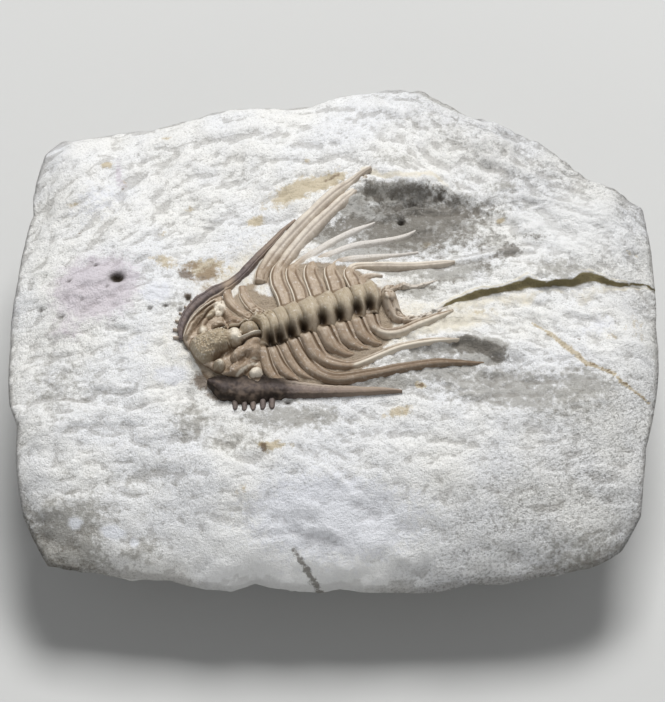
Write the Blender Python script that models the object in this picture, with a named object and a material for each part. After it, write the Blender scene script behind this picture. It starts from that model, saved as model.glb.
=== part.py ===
"""A spiny trilobite fossil lying on the broken block of limestone that it was found in.

Lengths are millimetres until a mesh is made, and metres in the meshes.
The stone's frame: X along its length, Y away from the viewer, Z up from its flat base.
The animal's frame on the stone: s runs from head to tail, n to the animal's right side.
"""
import math

import bmesh
import bpy
import numpy as np
from mathutils import Vector
from mathutils.bvhtree import BVHTree

MM = 0.001
OBJECT_NAME = "kettneraspis_fossil"

# Outline of the stone from above, counter-clockwise from the right side.
STONE_OUTLINE = [
    (26.3, 0.1), (26.35, 4.0), (26.1, 7.4), (25.6, 10.7), (23.5, 12.1), (21.2, 13.0),
    (19.0, 14.9), (17.9, 16.1), (15.5, 17.5), (11.4, 19.1), (8.7, 20.8), (7.2, 21.3),
    (3.9, 21.1), (0.5, 20.7), (-1.8, 20.0), (-6.2, 19.5), (-11.2, 19.0), (-15.4, 18.1),
    (-19.1, 17.6), (-22.7, 17.2), (-24.1, 15.9), (-25.0, 11.9), (-24.9, 10.2), (-25.9, 4.0),
    (-26.35, -1.7), (-26.2, -6.9), (-25.5, -8.8), (-25.5, -12.2), (-24.9, -15.7),
    (-22.9, -19.4), (-18.8, -19.9), (-13.1, -20.5), (-8.3, -21.3), (-6.3, -20.8),
    (-3.9, -21.2), (0.5, -21.1), (5.3, -21.2), (10.9, -20.8), (16.5, -20.3), (21.1, -19.3), (23.1, -18.1),
    (24.6, -15.7), (24.8, -13.3), (25.1, -10.4), (25.9, -7.1),
]
STONE_LENGTH = 52.7
STONE_DEPTH = 42.6
CREST_HEIGHT = 17.0
CREST_Y = 2.0
END_FALL = 0.0026
BACK_FALL = 0.0012
FRONT_FALL = 0.0075
SHOULDER_Y = -12.0
SHOULDER_REACH = 9.3
SHOULDER_FALL = 2.5
EDGE_ROLL = 1.8
EDGE_POWER = 14
BASE_SCALE = 0.84
BASE_SHIFT_Y = 2.4
SIDE_ROUGHNESS = 0.45

# Ledges on the top face as rows of x, y and height; the far side of each line stands higher.
SCARP = [(-2.0, 13.0, 0.0), (2.5, 12.0, 0.8), (8.7, 11.2, 1.3), (13.6, 8.9, 0.8), (17.5, 6.5, 0.0)]
CRACK = [(7.0, -0.9, 0.0), (9.4, 0.1, 0.35), (12.8, 1.3, 0.6), (15.8, 2.0, 0.6), (19.8, 3.0, 0.9),
         (24.0, 3.5, 0.5), (26.5, 3.6, 0.3)]
WEDGE_EDGE = [(5.0, -4.2, 0.0), (8.5, -3.7, 0.4), (13.7, -4.3, 0.5), (17.0, -5.0, 0.0)]
SIDE_STEP = [(-26.5, -7.1, -0.7), (-21.0, -7.6, -0.4), (-16.5, -8.2, 0.0)]
LEDGE_FACE = 0.5
LEDGE_REACH = 3.5

# Hollows cut round the fossil as rows of x, y, radius in x, radius in y and depth.
HOLLOWS = [(7.5, 6.8, 7.0, 3.2, 0.9), (-7.0, -7.2, 6.0, 2.4, 0.5), (12.5, -6.2, 4.5, 1.6, 0.5)]

STONE_COLUMNS = 38
STONE_ROWS = 32
SIDE_STEPS = (0.07, 0.3, 0.62, 1.0)

# The animal's axis on the stone.
BODY_ORIGIN = (-6.7, -2.6)
BODY_TURN = math.radians(16.7)

BED_GAP = 0.2
SPINE_FLATNESS = 1.3
TIP_THICKNESS = 0.05
RING_HALF_WIDTH = 1.3
RING_RISE = 1.05
RING_WAIST = 0.3
FURROW_HEIGHT = 0.75

# Thoracic segments: ring as s and half length, then the left and right side as s, n, half width.
SEGMENTS = [
    dict(ring=(0.95, 0.36),
         left=[(0.75, -1.4, 0.38), (0.7, -2.7, 0.41), (0.9, -3.65, 0.38), (1.4, -4.3, 0.18)],
         right=[(0.25, 1.4, 0.3), (-0.5, 2.5, 0.31), (-0.62, 3.4, 0.31), (-0.5, 4.0, 0.2)]),
    dict(ring=(1.8, 0.36),
         left=[(1.45, -1.4, 0.36), (1.62, -2.8, 0.41), (2.1, -3.85, 0.38), (2.7, -4.55, 0.16)],
         right=[(1.15, 1.4, 0.34), (0.27, 2.5, 0.34), (0.2, 3.4, 0.34), (0.4, 4.2, 0.22)]),
    dict(ring=(2.72, 0.4),
         left=[(2.3, -1.4, 0.36), (2.6, -2.95, 0.37), (3.15, -4.15, 0.35), (4.1, -5.05, 0.1)],
         right=[(2.1, 1.4, 0.36), (1.2, 2.5, 0.38), (1.1, 3.5, 0.38), (1.55, 4.4, 0.36),
                (2.6, 5.45, 0.32), (4.6, 6.75, 0.31), (6.6, 8.05, 0.3), (9.8, 10.2, 0.26),
                (12.6, 11.5, 0.14)]),
    dict(ring=(3.78, 0.47),
         left=[(3.2, -1.45, 0.42), (3.52, -2.9, 0.44), (4.25, -4.35, 0.46), (5.7, -5.5, 0.46),
               (8.2, -5.9, 0.42), (10.7, -6.1, 0.38), (13.9, -6.45, 0.32), (17.4, -7.2, 0.1)],
         right=[(3.45, 1.4, 0.5), (3.35, 2.4, 0.56), (3.0, 3.6, 0.5), (3.0, 4.5, 0.38),
                (3.85, 5.25, 0.31), (6.2, 6.9, 0.3), (8.2, 7.9, 0.28), (10.7, 9.2, 0.24),
                (12.4, 10.2, 0.12)]),
    dict(ring=(5.08, 0.59),
         left=[(4.35, -1.5, 0.52), (4.68, -3.0, 0.54), (5.45, -4.0, 0.46), (6.6, -4.65, 0.38),
               (7.6, -4.78, 0.31), (9.5, -4.55, 0.3), (11.2, -4.4, 0.29), (13.6, -4.65, 0.26),
               (16.0, -5.0, 0.1)],
         right=[(4.75, 1.4, 0.54), (4.6, 2.4, 0.58), (4.25, 3.6, 0.48), (4.35, 4.4, 0.34),
                (5.5, 5.15, 0.28), (8.5, 6.15, 0.25), (10.9, 6.9, 0.22), (12.7, 7.4, 0.1)]),
    dict(ring=(6.52, 0.63),
         left=[(5.85, -1.5, 0.58), (6.15, -2.75, 0.56), (6.85, -3.65, 0.38), (7.5, -4.0, 0.14)],
         right=[(6.05, 1.4, 0.58), (5.9, 2.4, 0.6), (5.6, 3.4, 0.5), (5.8, 4.15, 0.34),
                (7.2, 4.85, 0.26), (10.8, 5.5, 0.22), (14.3, 5.6, 0.19), (16.0, 5.9, 0.1)]),
    dict(ring=(7.95, 0.56),
         left=[(7.25, -1.5, 0.54), (7.45, -2.65, 0.54), (8.1, -3.5, 0.38), (8.8, -3.85, 0.14)],
         right=[(7.5, 1.3, 0.58), (7.35, 2.2, 0.62), (7.1, 3.0, 0.5), (7.3, 3.7, 0.34),
                (8.6, 4.2, 0.24), (12.0, 4.0, 0.2), (15.3, 3.75, 0.1)]),
    dict(ring=(9.2, 0.45),
         left=[(8.55, -1.4, 0.5), (8.7, -2.55, 0.5), (9.3, -3.4, 0.36), (9.9, -3.75, 0.14)],
         right=[(8.85, 1.3, 0.5), (8.75, 2.0, 0.52), (8.55, 2.65, 0.44), (8.9, 3.25, 0.34),
                (9.9, 3.4, 0.32), (13.3, 2.65, 0.31), (16.6, 2.05, 0.27), (17.8, 1.85, 0.12)]),
    dict(ring=(10.2, 0.42),
         left=[(9.7, -1.3, 0.44), (9.75, -2.3, 0.42), (10.3, -3.15, 0.34), (11.5, -3.5, 0.28),
               (14.1, -3.15, 0.27), (16.8, -2.85, 0.23), (18.4, -2.5, 0.1)],
         right=[(10.0, 1.2, 0.44), (9.95, 1.75, 0.4), (10.3, 2.25, 0.3), (11.4, 2.2, 0.22),
                (13.0, 1.7, 0.1)]),
]

# Tail shield, from the tip of its left spine to the tip of its right one, as s, n, half width.
PYGIDIUM = [(16.1, -1.85, 0.1), (14.3, -2.3, 0.25), (12.8, -2.45, 0.34), (12.0, -2.15, 0.5),
            (11.6, -1.5, 0.68), (11.5, -0.8, 0.74), (11.5, -0.1, 0.7), (11.7, 0.55, 0.5),
            (12.6, 0.75, 0.3), (14.3, 0.45, 0.24), (15.9, 0.6, 0.1)]

# Free cheeks, from the front of the head to the tip of the cheek spine, as s, n, half width.
RIGHT_CHEEK = [(-5.6, 1.0, 0.22), (-5.25, 1.95, 0.42), (-4.4, 2.95, 0.5), (-3.2, 4.0, 0.5),
               (-1.8, 4.65, 0.46), (-0.3, 4.95, 0.38), (0.75, 5.4, 0.36), (1.9, 6.15, 0.34),
               (2.9, 6.8, 0.32), (4.0, 7.5, 0.28), (5.1, 8.25, 0.22), (6.4, 9.0, 0.1)]
LEFT_CHEEK = [(-5.1, -2.7, 0.35), (-4.3, -3.45, 0.72), (-3.3, -4.05, 0.92), (-2.1, -4.5, 0.95),
              (-0.9, -4.82, 0.88), (0.3, -5.15, 0.74), (1.5, -5.55, 0.56), (2.7, -6.15, 0.47),
              (4.6, -6.95, 0.43), (6.9, -7.65, 0.37), (8.8, -8.1, 0.29), (10.5, -8.65, 0.1)]
CHEEK_FLATNESS = 0.5
TOOTH_LENGTH = 0.6
TOOTH_TAPER = 0.45
TOOTH_SPANS = {"free_cheek_right": (2, 16), "free_cheek_left": (2, 20)}

# Middle of the head: outline as s, n, and lobes as s, n, half length, half width, turn and rise.
HEAD_CENTRE = (-2.3, -0.2)
HEAD_OUTLINE = [(-5.2, 0.0), (-4.95, 0.95), (-4.1, 2.0), (-3.2, 2.95), (-2.3, 3.6), (-1.25, 3.9),
                (-1.2, 2.9), (-0.85, 1.9), (-0.25, 1.1), (0.4, 0.5), (0.45, -0.4), (0.22, -1.2),
                (0.12, -2.4), (0.0, -3.1), (-0.5, -3.5), (-1.2, -3.4), (-2.4, -3.05),
                (-3.4, -2.55), (-4.4, -1.9), (-5.0, -1.0)]
HEAD_LOBES = [(-3.3, -0.25, 1.9, 1.3, 3.0, 1.75), (-1.5, -0.05, 1.1, 0.9, 3.0, 1.6),
              (-0.15, 0.0, 0.68, 0.72, 0.0, 1.75), (-3.2, -1.9, 0.5, 0.5, 0.0, 1.0),
              (-1.6, -1.55, 1.2, 0.5, 28.0, 1.15), (-1.1, -2.5, 1.5, 0.5, 25.0, 0.85),
              (-0.45, -3.0, 0.5, 0.45, 0.0, 0.9), (-3.0, 2.0, 0.75, 0.4, 20.0, 0.6),
              (-2.2, 3.0, 1.1, 0.7, 35.0, 0.5), (-1.3, 1.7, 0.7, 0.9, 0.0, 0.55)]
LOBE_POWER = 0.7
HEAD_RIM = 0.35
HEAD_COLUMNS = 20
HEAD_ROWS = 22

COLOURS = {"stone": (0.62, 0.60, 0.56), "shell": (0.36, 0.28, 0.20), "cheek": (0.14, 0.10, 0.09)}
ROUGHNESS = {"stone": 0.92, "shell": 0.5, "cheek": 0.45}


def clear_scene():
    for item in list(bpy.data.objects):
        bpy.data.objects.remove(item, do_unlink=True)


def new_collection():
    collection = bpy.data.collections.new(OBJECT_NAME)
    bpy.context.scene.collection.children.link(collection)
    return collection


def new_material(name, kind):
    material = bpy.data.materials.new(name)
    material.use_nodes = True
    shader = material.node_tree.nodes["Principled BSDF"]
    shader.inputs["Base Color"].default_value = (*COLOURS[kind], 1.0)
    shader.inputs["Roughness"].default_value = ROUGHNESS[kind]
    shader.inputs["Metallic"].default_value = 0.0
    return material


def add_object(name, mesh_builder, kind, collection):
    """Turn a bmesh in millimetres into an object in metres with its own material."""
    bmesh.ops.scale(mesh_builder, vec=(MM, MM, MM), verts=mesh_builder.verts)
    bmesh.ops.recalc_face_normals(mesh_builder, faces=mesh_builder.faces)
    mesh = bpy.data.meshes.new(name)
    mesh_builder.to_mesh(mesh)
    mesh_builder.free()
    mesh.materials.append(new_material(name, kind))
    mesh.shade_smooth()
    mesh.set_sharp_from_angle(angle=math.radians(40.0))
    item = bpy.data.objects.new(name, mesh)
    collection.objects.link(item)
    return item


def outline_radius(outline, centre, angle):
    """Distance from the centre to a star-shaped outline in each direction."""
    offsets = np.array(outline) - np.array(centre)
    angles = np.arctan2(offsets[:, 1], offsets[:, 0])
    radii = np.hypot(offsets[:, 0], offsets[:, 1])
    return np.interp(angle, angles, radii, period=2.0 * math.pi)


def warp_grid(columns, rows, outline, centre, length, depth, focus):
    """Spread a square grid over an outline; focus packs its lines towards the middle."""
    steps_a = np.linspace(-1.0, 1.0, columns + 1)
    steps_b = np.linspace(-1.0, 1.0, rows + 1)
    steps_a = (1.0 - focus) * steps_a + focus * steps_a ** 3
    steps_b = (1.0 - focus) * steps_b + focus * steps_b ** 3
    a, b = np.meshgrid(steps_a, steps_b)
    reach = np.maximum(np.abs(a), np.abs(b))
    angle = np.arctan2(b * depth, a * length)
    radius = reach * outline_radius(outline, centre, angle)
    return centre[0] + radius * np.cos(angle), centre[1] + radius * np.sin(angle), reach


def ledge(x, y, line):
    """A step along a line, high on its far side, that fades out away from the line."""
    rows = np.array(line)
    off = y - np.interp(x, rows[:, 0], rows[:, 1])
    rise = np.interp(x, rows[:, 0], rows[:, 2])
    return 0.5 * rise * np.tanh(off / LEDGE_FACE) * np.exp(-np.abs(off) / LEDGE_REACH)


def swell(x, y):
    """Slow unevenness of the broken face: three crossed waves."""
    return (0.16 * np.sin(0.34 * x + 0.21 * y + 0.6) + 0.12 * np.sin(0.19 * x - 0.43 * y + 2.1)
            + 0.07 * np.sin(0.71 * x + 0.52 * y + 4.0))


def stone_height(x, y, reach):
    """Height of the top face: a dome, a steeper front shoulder, a rolled rim, ledges, hollows."""
    away = y - CREST_Y
    height = CREST_HEIGHT - END_FALL * x ** 2
    height -= np.where(away > 0.0, BACK_FALL, FRONT_FALL) * away ** 2
    shoulder = np.maximum(SHOULDER_Y - y, 0.0) / SHOULDER_REACH
    height -= SHOULDER_FALL * shoulder ** 1.6
    height -= EDGE_ROLL * reach ** EDGE_POWER
    for line in (SCARP, CRACK, WEDGE_EDGE, SIDE_STEP):
        height += ledge(x, y, line)
    for mid_x, mid_y, radius_x, radius_y, depth in HOLLOWS:
        away_squared = ((x - mid_x) / radius_x) ** 2 + ((y - mid_y) / radius_y) ** 2
        height -= depth * np.exp(-away_squared)
    return height + swell(x, y)


def grid_faces(builder, verts):
    """Quads between the rows of a grid of vertices."""
    for lower, upper in zip(verts[:-1], verts[1:]):
        for k in range(len(lower) - 1):
            builder.faces.new((lower[k], lower[k + 1], upper[k + 1], upper[k]))


def border_loop(verts):
    """Vertices round the edge of a grid, in order."""
    front = verts[0][:-1]
    right = [row[-1] for row in verts[:-1]]
    back = verts[-1][:0:-1]
    left = [row[0] for row in verts[:0:-1]]
    return front + right + back + left


def close_wall(builder, upper, lower):
    """Quads between two closed rings of vertices."""
    count = len(upper)
    for k in range(count):
        after = (k + 1) % count
        builder.faces.new((upper[k], lower[k], lower[after], upper[after]))


def make_stone(collection):
    """Warped grid for the top face, rings down the broken sides, and one flat base."""
    builder = bmesh.new()
    x, y, reach = warp_grid(STONE_COLUMNS, STONE_ROWS, STONE_OUTLINE, (0.0, 0.0),
                            STONE_LENGTH, STONE_DEPTH, 0.3)
    z = stone_height(x, y, reach)
    verts = [[builder.verts.new(p) for p in zip(*row)] for row in zip(x, y, z)]
    grid_faces(builder, verts)
    rim = border_loop(verts)
    upper = rim
    for step in SIDE_STEPS:
        lower = []
        for rim_vert in rim:
            rim_x, rim_y, rim_z = rim_vert.co
            scale = 1.0 - (1.0 - BASE_SCALE) * step ** 1.4
            wave = math.sin(0.8 * rim_x + 0.5 * rim_y + 5.0 * step) * math.sin(
                0.37 * rim_x - 0.9 * rim_y + 3.0 * step)
            cut = SIDE_ROUGHNESS * (1.0 + wave) * math.sin(math.pi * step)
            scale *= 1.0 - cut / math.hypot(rim_x, rim_y)
            place = (rim_x * scale, rim_y * scale + BASE_SHIFT_Y * step, rim_z * (1.0 - step))
            lower.append(builder.verts.new(place))
        close_wall(builder, upper, lower)
        upper = lower
    builder.faces.new(upper)
    bmesh.ops.triangulate(builder, faces=builder.faces)
    bed = BVHTree.FromBMesh(builder)
    add_object("matrix", builder, "stone", collection)
    return bed


def to_stone(s, n):
    """Place a point of the animal's frame on the stone."""
    x = BODY_ORIGIN[0] + s * math.cos(BODY_TURN) - n * math.sin(BODY_TURN)
    y = BODY_ORIGIN[1] + s * math.sin(BODY_TURN) + n * math.cos(BODY_TURN)
    return x, y


def bed_height(bed, x, y):
    """Height of the stone under a point."""
    hit = bed.ray_cast(Vector((x, y, 2.0 * CREST_HEIGHT)), Vector((0.0, 0.0, -1.0)))
    return hit[0].z


def smooth_path(rows, splits):
    """Catmull-Rom curve through the first two columns, other columns straight between rows."""
    rows = np.array(rows)
    padded = np.vstack([2.0 * rows[0] - rows[1], rows, 2.0 * rows[-1] - rows[-2]])
    result = []
    for k in range(len(rows) - 1):
        before, start, end, after = padded[k:k + 4]
        for t in np.arange(splits) / splits:
            point = start + t * (end - start)
            bend = (2.0 * start + t * (end - before)
                    + t ** 2 * (2.0 * before - 5.0 * start + 4.0 * end - after)
                    + t ** 3 * (3.0 * start - before - 3.0 * end + after))
            point[:2] = 0.5 * bend[:2]
            result.append(point)
    result.append(rows[-1])
    return np.array(result)


def sweep(builder, bed, rows):
    """Arched bar along rows of s, n, half width and height, flat underneath on the stone."""
    rows = np.array(rows)
    x, y = to_stone(rows[:, 0], rows[:, 1])
    run_x = np.gradient(x)
    run_y = np.gradient(y)
    run = np.hypot(run_x, run_y)
    side_x = run_y / run
    side_y = -run_x / run
    profile = ((-1.0, 0.0), (-0.86, 0.62), (-0.36, 1.0), (0.36, 1.0), (0.86, 0.62), (1.0, 0.0))
    rings = []
    for k in range(len(rows)):
        half, rise = rows[k, 2:4]
        rest = []
        for across in (-1.0, -0.5, 0.0, 0.5, 1.0):
            rest.append(bed_height(bed, x[k] + across * half * side_x[k],
                                   y[k] + across * half * side_y[k]))
        floor = max(rest) + BED_GAP
        ring = []
        for across, up in profile:
            place = (x[k] + across * half * side_x[k], y[k] + across * half * side_y[k],
                     floor + up * rise)
            ring.append(builder.verts.new(place))
        rings.append(ring)
    for before, after in zip(rings[:-1], rings[1:]):
        close_wall(builder, before, after)
    builder.faces.new(rings[0])
    builder.faces.new(rings[-1])
    return rings


def with_height(path, flatness):
    """Add a height to rows of s, n and half width."""
    return np.column_stack([path, flatness * path[:, 2] + TIP_THICKNESS])


def make_segment(number, segment, bed, collection):
    """One thoracic segment: left spine and pleura, arched axial ring, right pleura and spine."""
    left = with_height(smooth_path(segment["left"], 2), SPINE_FLATNESS)[::-1]
    right = with_height(smooth_path(segment["right"], 2), SPINE_FLATNESS)
    ring_s, ring_half = segment["ring"]
    turn = np.linspace(-0.9, 0.9, 7)
    lean = np.where(turn < 0.0, left[-1, 0] - ring_s, right[0, 0] - ring_s)
    waist = 1.0 - RING_WAIST * np.exp(-((turn + 0.7) / 0.25) ** 2)
    ring = np.column_stack([ring_s + lean * np.abs(turn) ** 2, RING_HALF_WIDTH * turn,
                            ring_half * waist,
                            FURROW_HEIGHT + RING_RISE * np.sqrt(1.0 - turn ** 2)])
    builder = bmesh.new()
    sweep(builder, bed, np.vstack([left, ring, right]))
    add_object("thoracic_segment_%d" % number, builder, "shell", collection)


def make_pygidium(bed, collection):
    """Tail shield with a spine at each side and a low axial boss."""
    rows = with_height(smooth_path(PYGIDIUM, 2), SPINE_FLATNESS)
    rows[:, 3] += 0.55 * np.exp(-((rows[:, 1] + 0.5) / 0.7) ** 2) * (rows[:, 2] > 0.4)
    builder = bmesh.new()
    sweep(builder, bed, rows)
    add_object("pygidium", builder, "shell", collection)


def make_cheek(name, path, outer_side, bed, collection):
    """Free cheek as a curved bar with a comb of teeth drawn from its outer edge."""
    builder = bmesh.new()
    rings = sweep(builder, bed, with_height(smooth_path(path, 3), CHEEK_FLATNESS))
    first, last = TOOTH_SPANS[name]
    # Each ring's first two corners are on its one side and its last two on its other.
    low, high = (4, 5) if outer_side > 0 else (0, 1)
    for k in range(first, last, 2):
        corners = [rings[k][low], rings[k][high], rings[k + 1][high], rings[k + 1][low]]
        face = next(f for f in corners[0].link_faces if all(f in c.link_faces for c in corners))
        middle = face.calc_center_median()
        inner = (rings[k][5 - low].co + rings[k + 1][5 - low].co) / 2.0
        outward = Vector((middle.x - inner.x, middle.y - inner.y, 0.0)).normalized()
        drawn = bmesh.ops.extrude_discrete_faces(builder, faces=[face])["faces"][0]
        for vert in drawn.verts:
            vert.co = middle + (vert.co - middle) * TOOTH_TAPER + outward * TOOTH_LENGTH
            vert.co.z = max(vert.co.z, bed_height(bed, vert.co.x, vert.co.y) + BED_GAP)
    add_object(name, builder, "cheek", collection)


def head_rise(s, n):
    """Height of the head above its rim: the highest of its rounded lobes."""
    rise = np.zeros_like(s)
    for mid_s, mid_n, half_length, half_width, turn, height in HEAD_LOBES:
        angle = math.radians(turn)
        along = (s - mid_s) * math.cos(angle) + (n - mid_n) * math.sin(angle)
        across = (n - mid_n) * math.cos(angle) - (s - mid_s) * math.sin(angle)
        inside = 1.0 - (along / half_length) ** 2 - (across / half_width) ** 2
        rise = np.maximum(rise, height * np.maximum(inside, 0.0) ** LOBE_POWER)
    return rise


def make_cranidium(bed, collection):
    """Middle of the head: lobed top on a warped grid, thin rim, and a flat underside."""
    s, n, reach = warp_grid(HEAD_COLUMNS, HEAD_ROWS, HEAD_OUTLINE, HEAD_CENTRE, 5.6, 7.6, 0.0)
    x, y = to_stone(s, n)
    builder = bmesh.new()
    bed_z = np.array([[bed_height(bed, *p) for p in zip(*row)] for row in zip(x, y)])
    z = bed_z + BED_GAP + HEAD_RIM + head_rise(s, n) * (1.0 - reach ** 8)
    verts = [[builder.verts.new(p) for p in zip(*row)] for row in zip(x, y, z)]
    grid_faces(builder, verts)
    edge = [builder.verts.new((v.co.x, v.co.y, bed_height(bed, v.co.x, v.co.y) + BED_GAP))
            for v in border_loop(verts)]
    close_wall(builder, border_loop(verts), edge)
    mid_x, mid_y = to_stone(*HEAD_CENTRE)
    middle = builder.verts.new((mid_x, mid_y, bed_height(bed, mid_x, mid_y) + BED_GAP))
    inner = []
    for vert in edge:
        place = (vert.co + middle.co) / 2.0
        place.z = bed_height(bed, place.x, place.y) + BED_GAP
        inner.append(builder.verts.new(place))
    close_wall(builder, edge, inner)
    for k in range(len(inner)):
        builder.faces.new((inner[k - 1], inner[k], middle))
    add_object("cranidium", builder, "shell", collection)


def main():
    clear_scene()
    collection = new_collection()
    bed = make_stone(collection)
    make_cranidium(bed, collection)
    make_cheek("free_cheek_right", RIGHT_CHEEK, -1, bed, collection)
    make_cheek("free_cheek_left", LEFT_CHEEK, 1, bed, collection)
    for number, segment in enumerate(SEGMENTS, start=1):
        make_segment(number, segment, bed, collection)
    make_pygidium(bed, collection)


main()
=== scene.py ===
# Spiny trilobite fossil in relief on its block of broken limestone.
import math

import bpy
import numpy as np
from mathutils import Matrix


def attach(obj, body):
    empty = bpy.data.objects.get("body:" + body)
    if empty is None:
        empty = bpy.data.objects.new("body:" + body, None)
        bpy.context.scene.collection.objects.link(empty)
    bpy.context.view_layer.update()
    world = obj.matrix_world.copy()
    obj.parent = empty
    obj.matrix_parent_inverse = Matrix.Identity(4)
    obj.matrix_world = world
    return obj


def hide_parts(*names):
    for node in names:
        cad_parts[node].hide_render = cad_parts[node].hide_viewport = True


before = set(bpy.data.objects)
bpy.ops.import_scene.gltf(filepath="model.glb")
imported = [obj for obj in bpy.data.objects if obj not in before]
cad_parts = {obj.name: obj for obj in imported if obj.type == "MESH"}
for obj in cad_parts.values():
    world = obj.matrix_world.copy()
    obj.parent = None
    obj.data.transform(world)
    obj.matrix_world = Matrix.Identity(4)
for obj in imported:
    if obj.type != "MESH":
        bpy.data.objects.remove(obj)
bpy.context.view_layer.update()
mm = 0.001  # every shape below is worked out in millimetres

# noise on arrays: gradients at lattice corners, blended smoothly between them; each layer of
# noise is finer, weaker and shifted from the last
lattice = dict(seed=7, size=256, gain=1.6, finer=2.03, weaker=0.52, shift=17.3)
latticeTable = np.random.RandomState(lattice["seed"]).permutation(lattice["size"])
latticeTable = np.concatenate([latticeTable, latticeTable, latticeTable[:4]])
cornerVectors = np.random.RandomState(lattice["seed"] + 1).normal(size=(lattice["size"], 3))
cornerVectors /= np.linalg.norm(cornerVectors, axis=1)[:, None]


def gradientNoise(x, y, z):
    whole = [np.floor(v).astype(int) for v in (x, y, z)]
    part = [v - w for v, w in zip((x, y, z), whole)]
    blend = [t * t * t * (t * (t * 6.0 - 15.0) + 10.0) for t in part]
    whole = [w % lattice["size"] for w in whole]
    total = 0.0
    for corner in np.ndindex(2, 2, 2):
        i, j, k = (w + step for w, step in zip(whole, corner))
        vector = cornerVectors[latticeTable[latticeTable[latticeTable[i] + j] + k]]
        slope = sum(vector[..., axis] * (part[axis] - corner[axis]) for axis in range(3))
        weight = 1.0
        for t, step in zip(blend, corner):
            weight = weight * (t if step else 1.0 - t)
        total = total + weight * slope
    return total * lattice["gain"]


def layeredNoise(x, y, z, size, layers, shift):
    total = 0.0
    strength = 1.0
    for layer in range(layers):
        scale = lattice["finer"] ** layer / size
        total = total + strength * gradientNoise(x * scale + shift + lattice["shift"] * layer,
                                                 y * scale - shift, z * scale + 2.0 * shift)
        strength *= lattice["weaker"]
    return total


def flatNoise(x, y, size, layers, shift):
    return layeredNoise(x, y, 0.0 * x, size, layers, shift)


def lineNoise(marks, size, layers, shift):
    return flatNoise(marks, 0.0 * marks, size, layers, shift)


# shared shape helpers
def bump(distance, width):
    # bell curve: one at no distance, fading out over the width
    return np.exp(-(distance / width) ** 2)


def ease(value, low, high):
    # smooth step from nought at low to one at high
    t = np.clip((value - low) / (high - low), 0.0, 1.0)
    return t * t * (3.0 - 2.0 * t)


def along(x, line):
    # a line's second column at x
    rows = np.array(line)
    return np.interp(x, rows[:, 0], rows[:, 1])


def lineDistance(x, y, line):
    # distance from each point to the nearest stretch of a line
    nearest = np.full(np.shape(x), 1e9)
    for (ax, ay), (bx, by) in zip(line[:-1], line[1:]):
        runX, runY = bx - ax, by - ay
        t = np.clip(((x - ax) * runX + (y - ay) * runY) / (runX ** 2 + runY ** 2), 0.0, 1.0)
        nearest = np.minimum(nearest, np.hypot(x - ax - t * runX, y - ay - t * runY))
    return nearest


def turned(x, y, middle, degrees):
    # places measured from a middle point along axes turned by some degrees
    cosine, sine = math.cos(math.radians(degrees)), math.sin(math.radians(degrees))
    offX, offY = x - middle[0], y - middle[1]
    return offX * cosine + offY * sine, offY * cosine - offX * sine


def ovalReach(x, y, middle, radii):
    # distance from a middle point, one at the edge of an oval
    return np.hypot((x - middle[0]) / radii[0], (y - middle[1]) / radii[1])


def spotField(x, y, spots):
    # strongest of several soft oval spots given as x, y, radius along, radius across, turn, strength
    field = np.zeros_like(x)
    for midX, midY, radiusX, radiusY, degrees, strength in spots:
        offX, offY = turned(x, y, (midX, midY), degrees)
        field = np.maximum(field, strength * np.exp(-(offX / radiusX) ** 2 - (offY / radiusY) ** 2))
    return field


def bells(value, curves):
    # sum of bell curves, each given as height, place and width
    return sum(height * bump(value - place, width) for height, place, width in curves)


def blurred(grid, radius):
    # mean of each value's neighbours along both directions of a grid
    for axis in (0, 1):
        pad = [(radius + 1, radius) if k == axis else (0, 0) for k in (0, 1)]
        sums = np.cumsum(np.pad(grid, pad, mode="edge"), axis=axis)
        size = grid.shape[axis]
        upper = np.take(sums, np.arange(size) + 2 * radius + 1, axis=axis)
        lower = np.take(sums, np.arange(size), axis=axis)
        grid = (upper - lower) / (2 * radius + 1)
    return grid


def cavity(height, radius, depth):
    # how far each point lies below its surroundings, in units of depth
    return np.clip((blurred(height, radius) - height) / depth, -1.0, 1.0)


def outlineRadius(outline, centre, angle):
    offsets = np.array(outline) - np.array(centre)
    return np.interp(angle, np.arctan2(offsets[:, 1], offsets[:, 0]),
                     np.hypot(offsets[:, 0], offsets[:, 1]), period=2.0 * math.pi)


def warpGrid(columns, rows, outline, centre, length, depth, focus):
    # a square grid spread over an outline; focus packs its lines towards the middle
    a = np.linspace(-1.0, 1.0, columns + 1)
    b = np.linspace(-1.0, 1.0, rows + 1)
    a, b = np.meshgrid((1.0 - focus) * a + focus * a ** 3, (1.0 - focus) * b + focus * b ** 3)
    reach = np.maximum(np.abs(a), np.abs(b))
    angle = np.arctan2(b * depth, a * length)
    radius = reach * outlineRadius(outline, centre, angle)
    return centre[0] + radius * np.cos(angle), centre[1] + radius * np.sin(angle), reach


def borderLoop(grid):
    # what a grid holds round its edge, counter-clockwise
    return np.concatenate([grid[0, :-1], grid[:-1, -1], grid[-1, :0:-1], grid[:0:-1, 0]])


def gridQuads(index):
    return np.stack([index[:-1, :-1], index[:-1, 1:], index[1:, 1:], index[1:, :-1]],
                    axis=-1).reshape(-1, 4)


def wallQuads(upper, lower):
    after = np.roll(np.arange(len(upper)), -1)
    return np.stack([upper, lower, lower[after], upper[after]], axis=-1)


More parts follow.
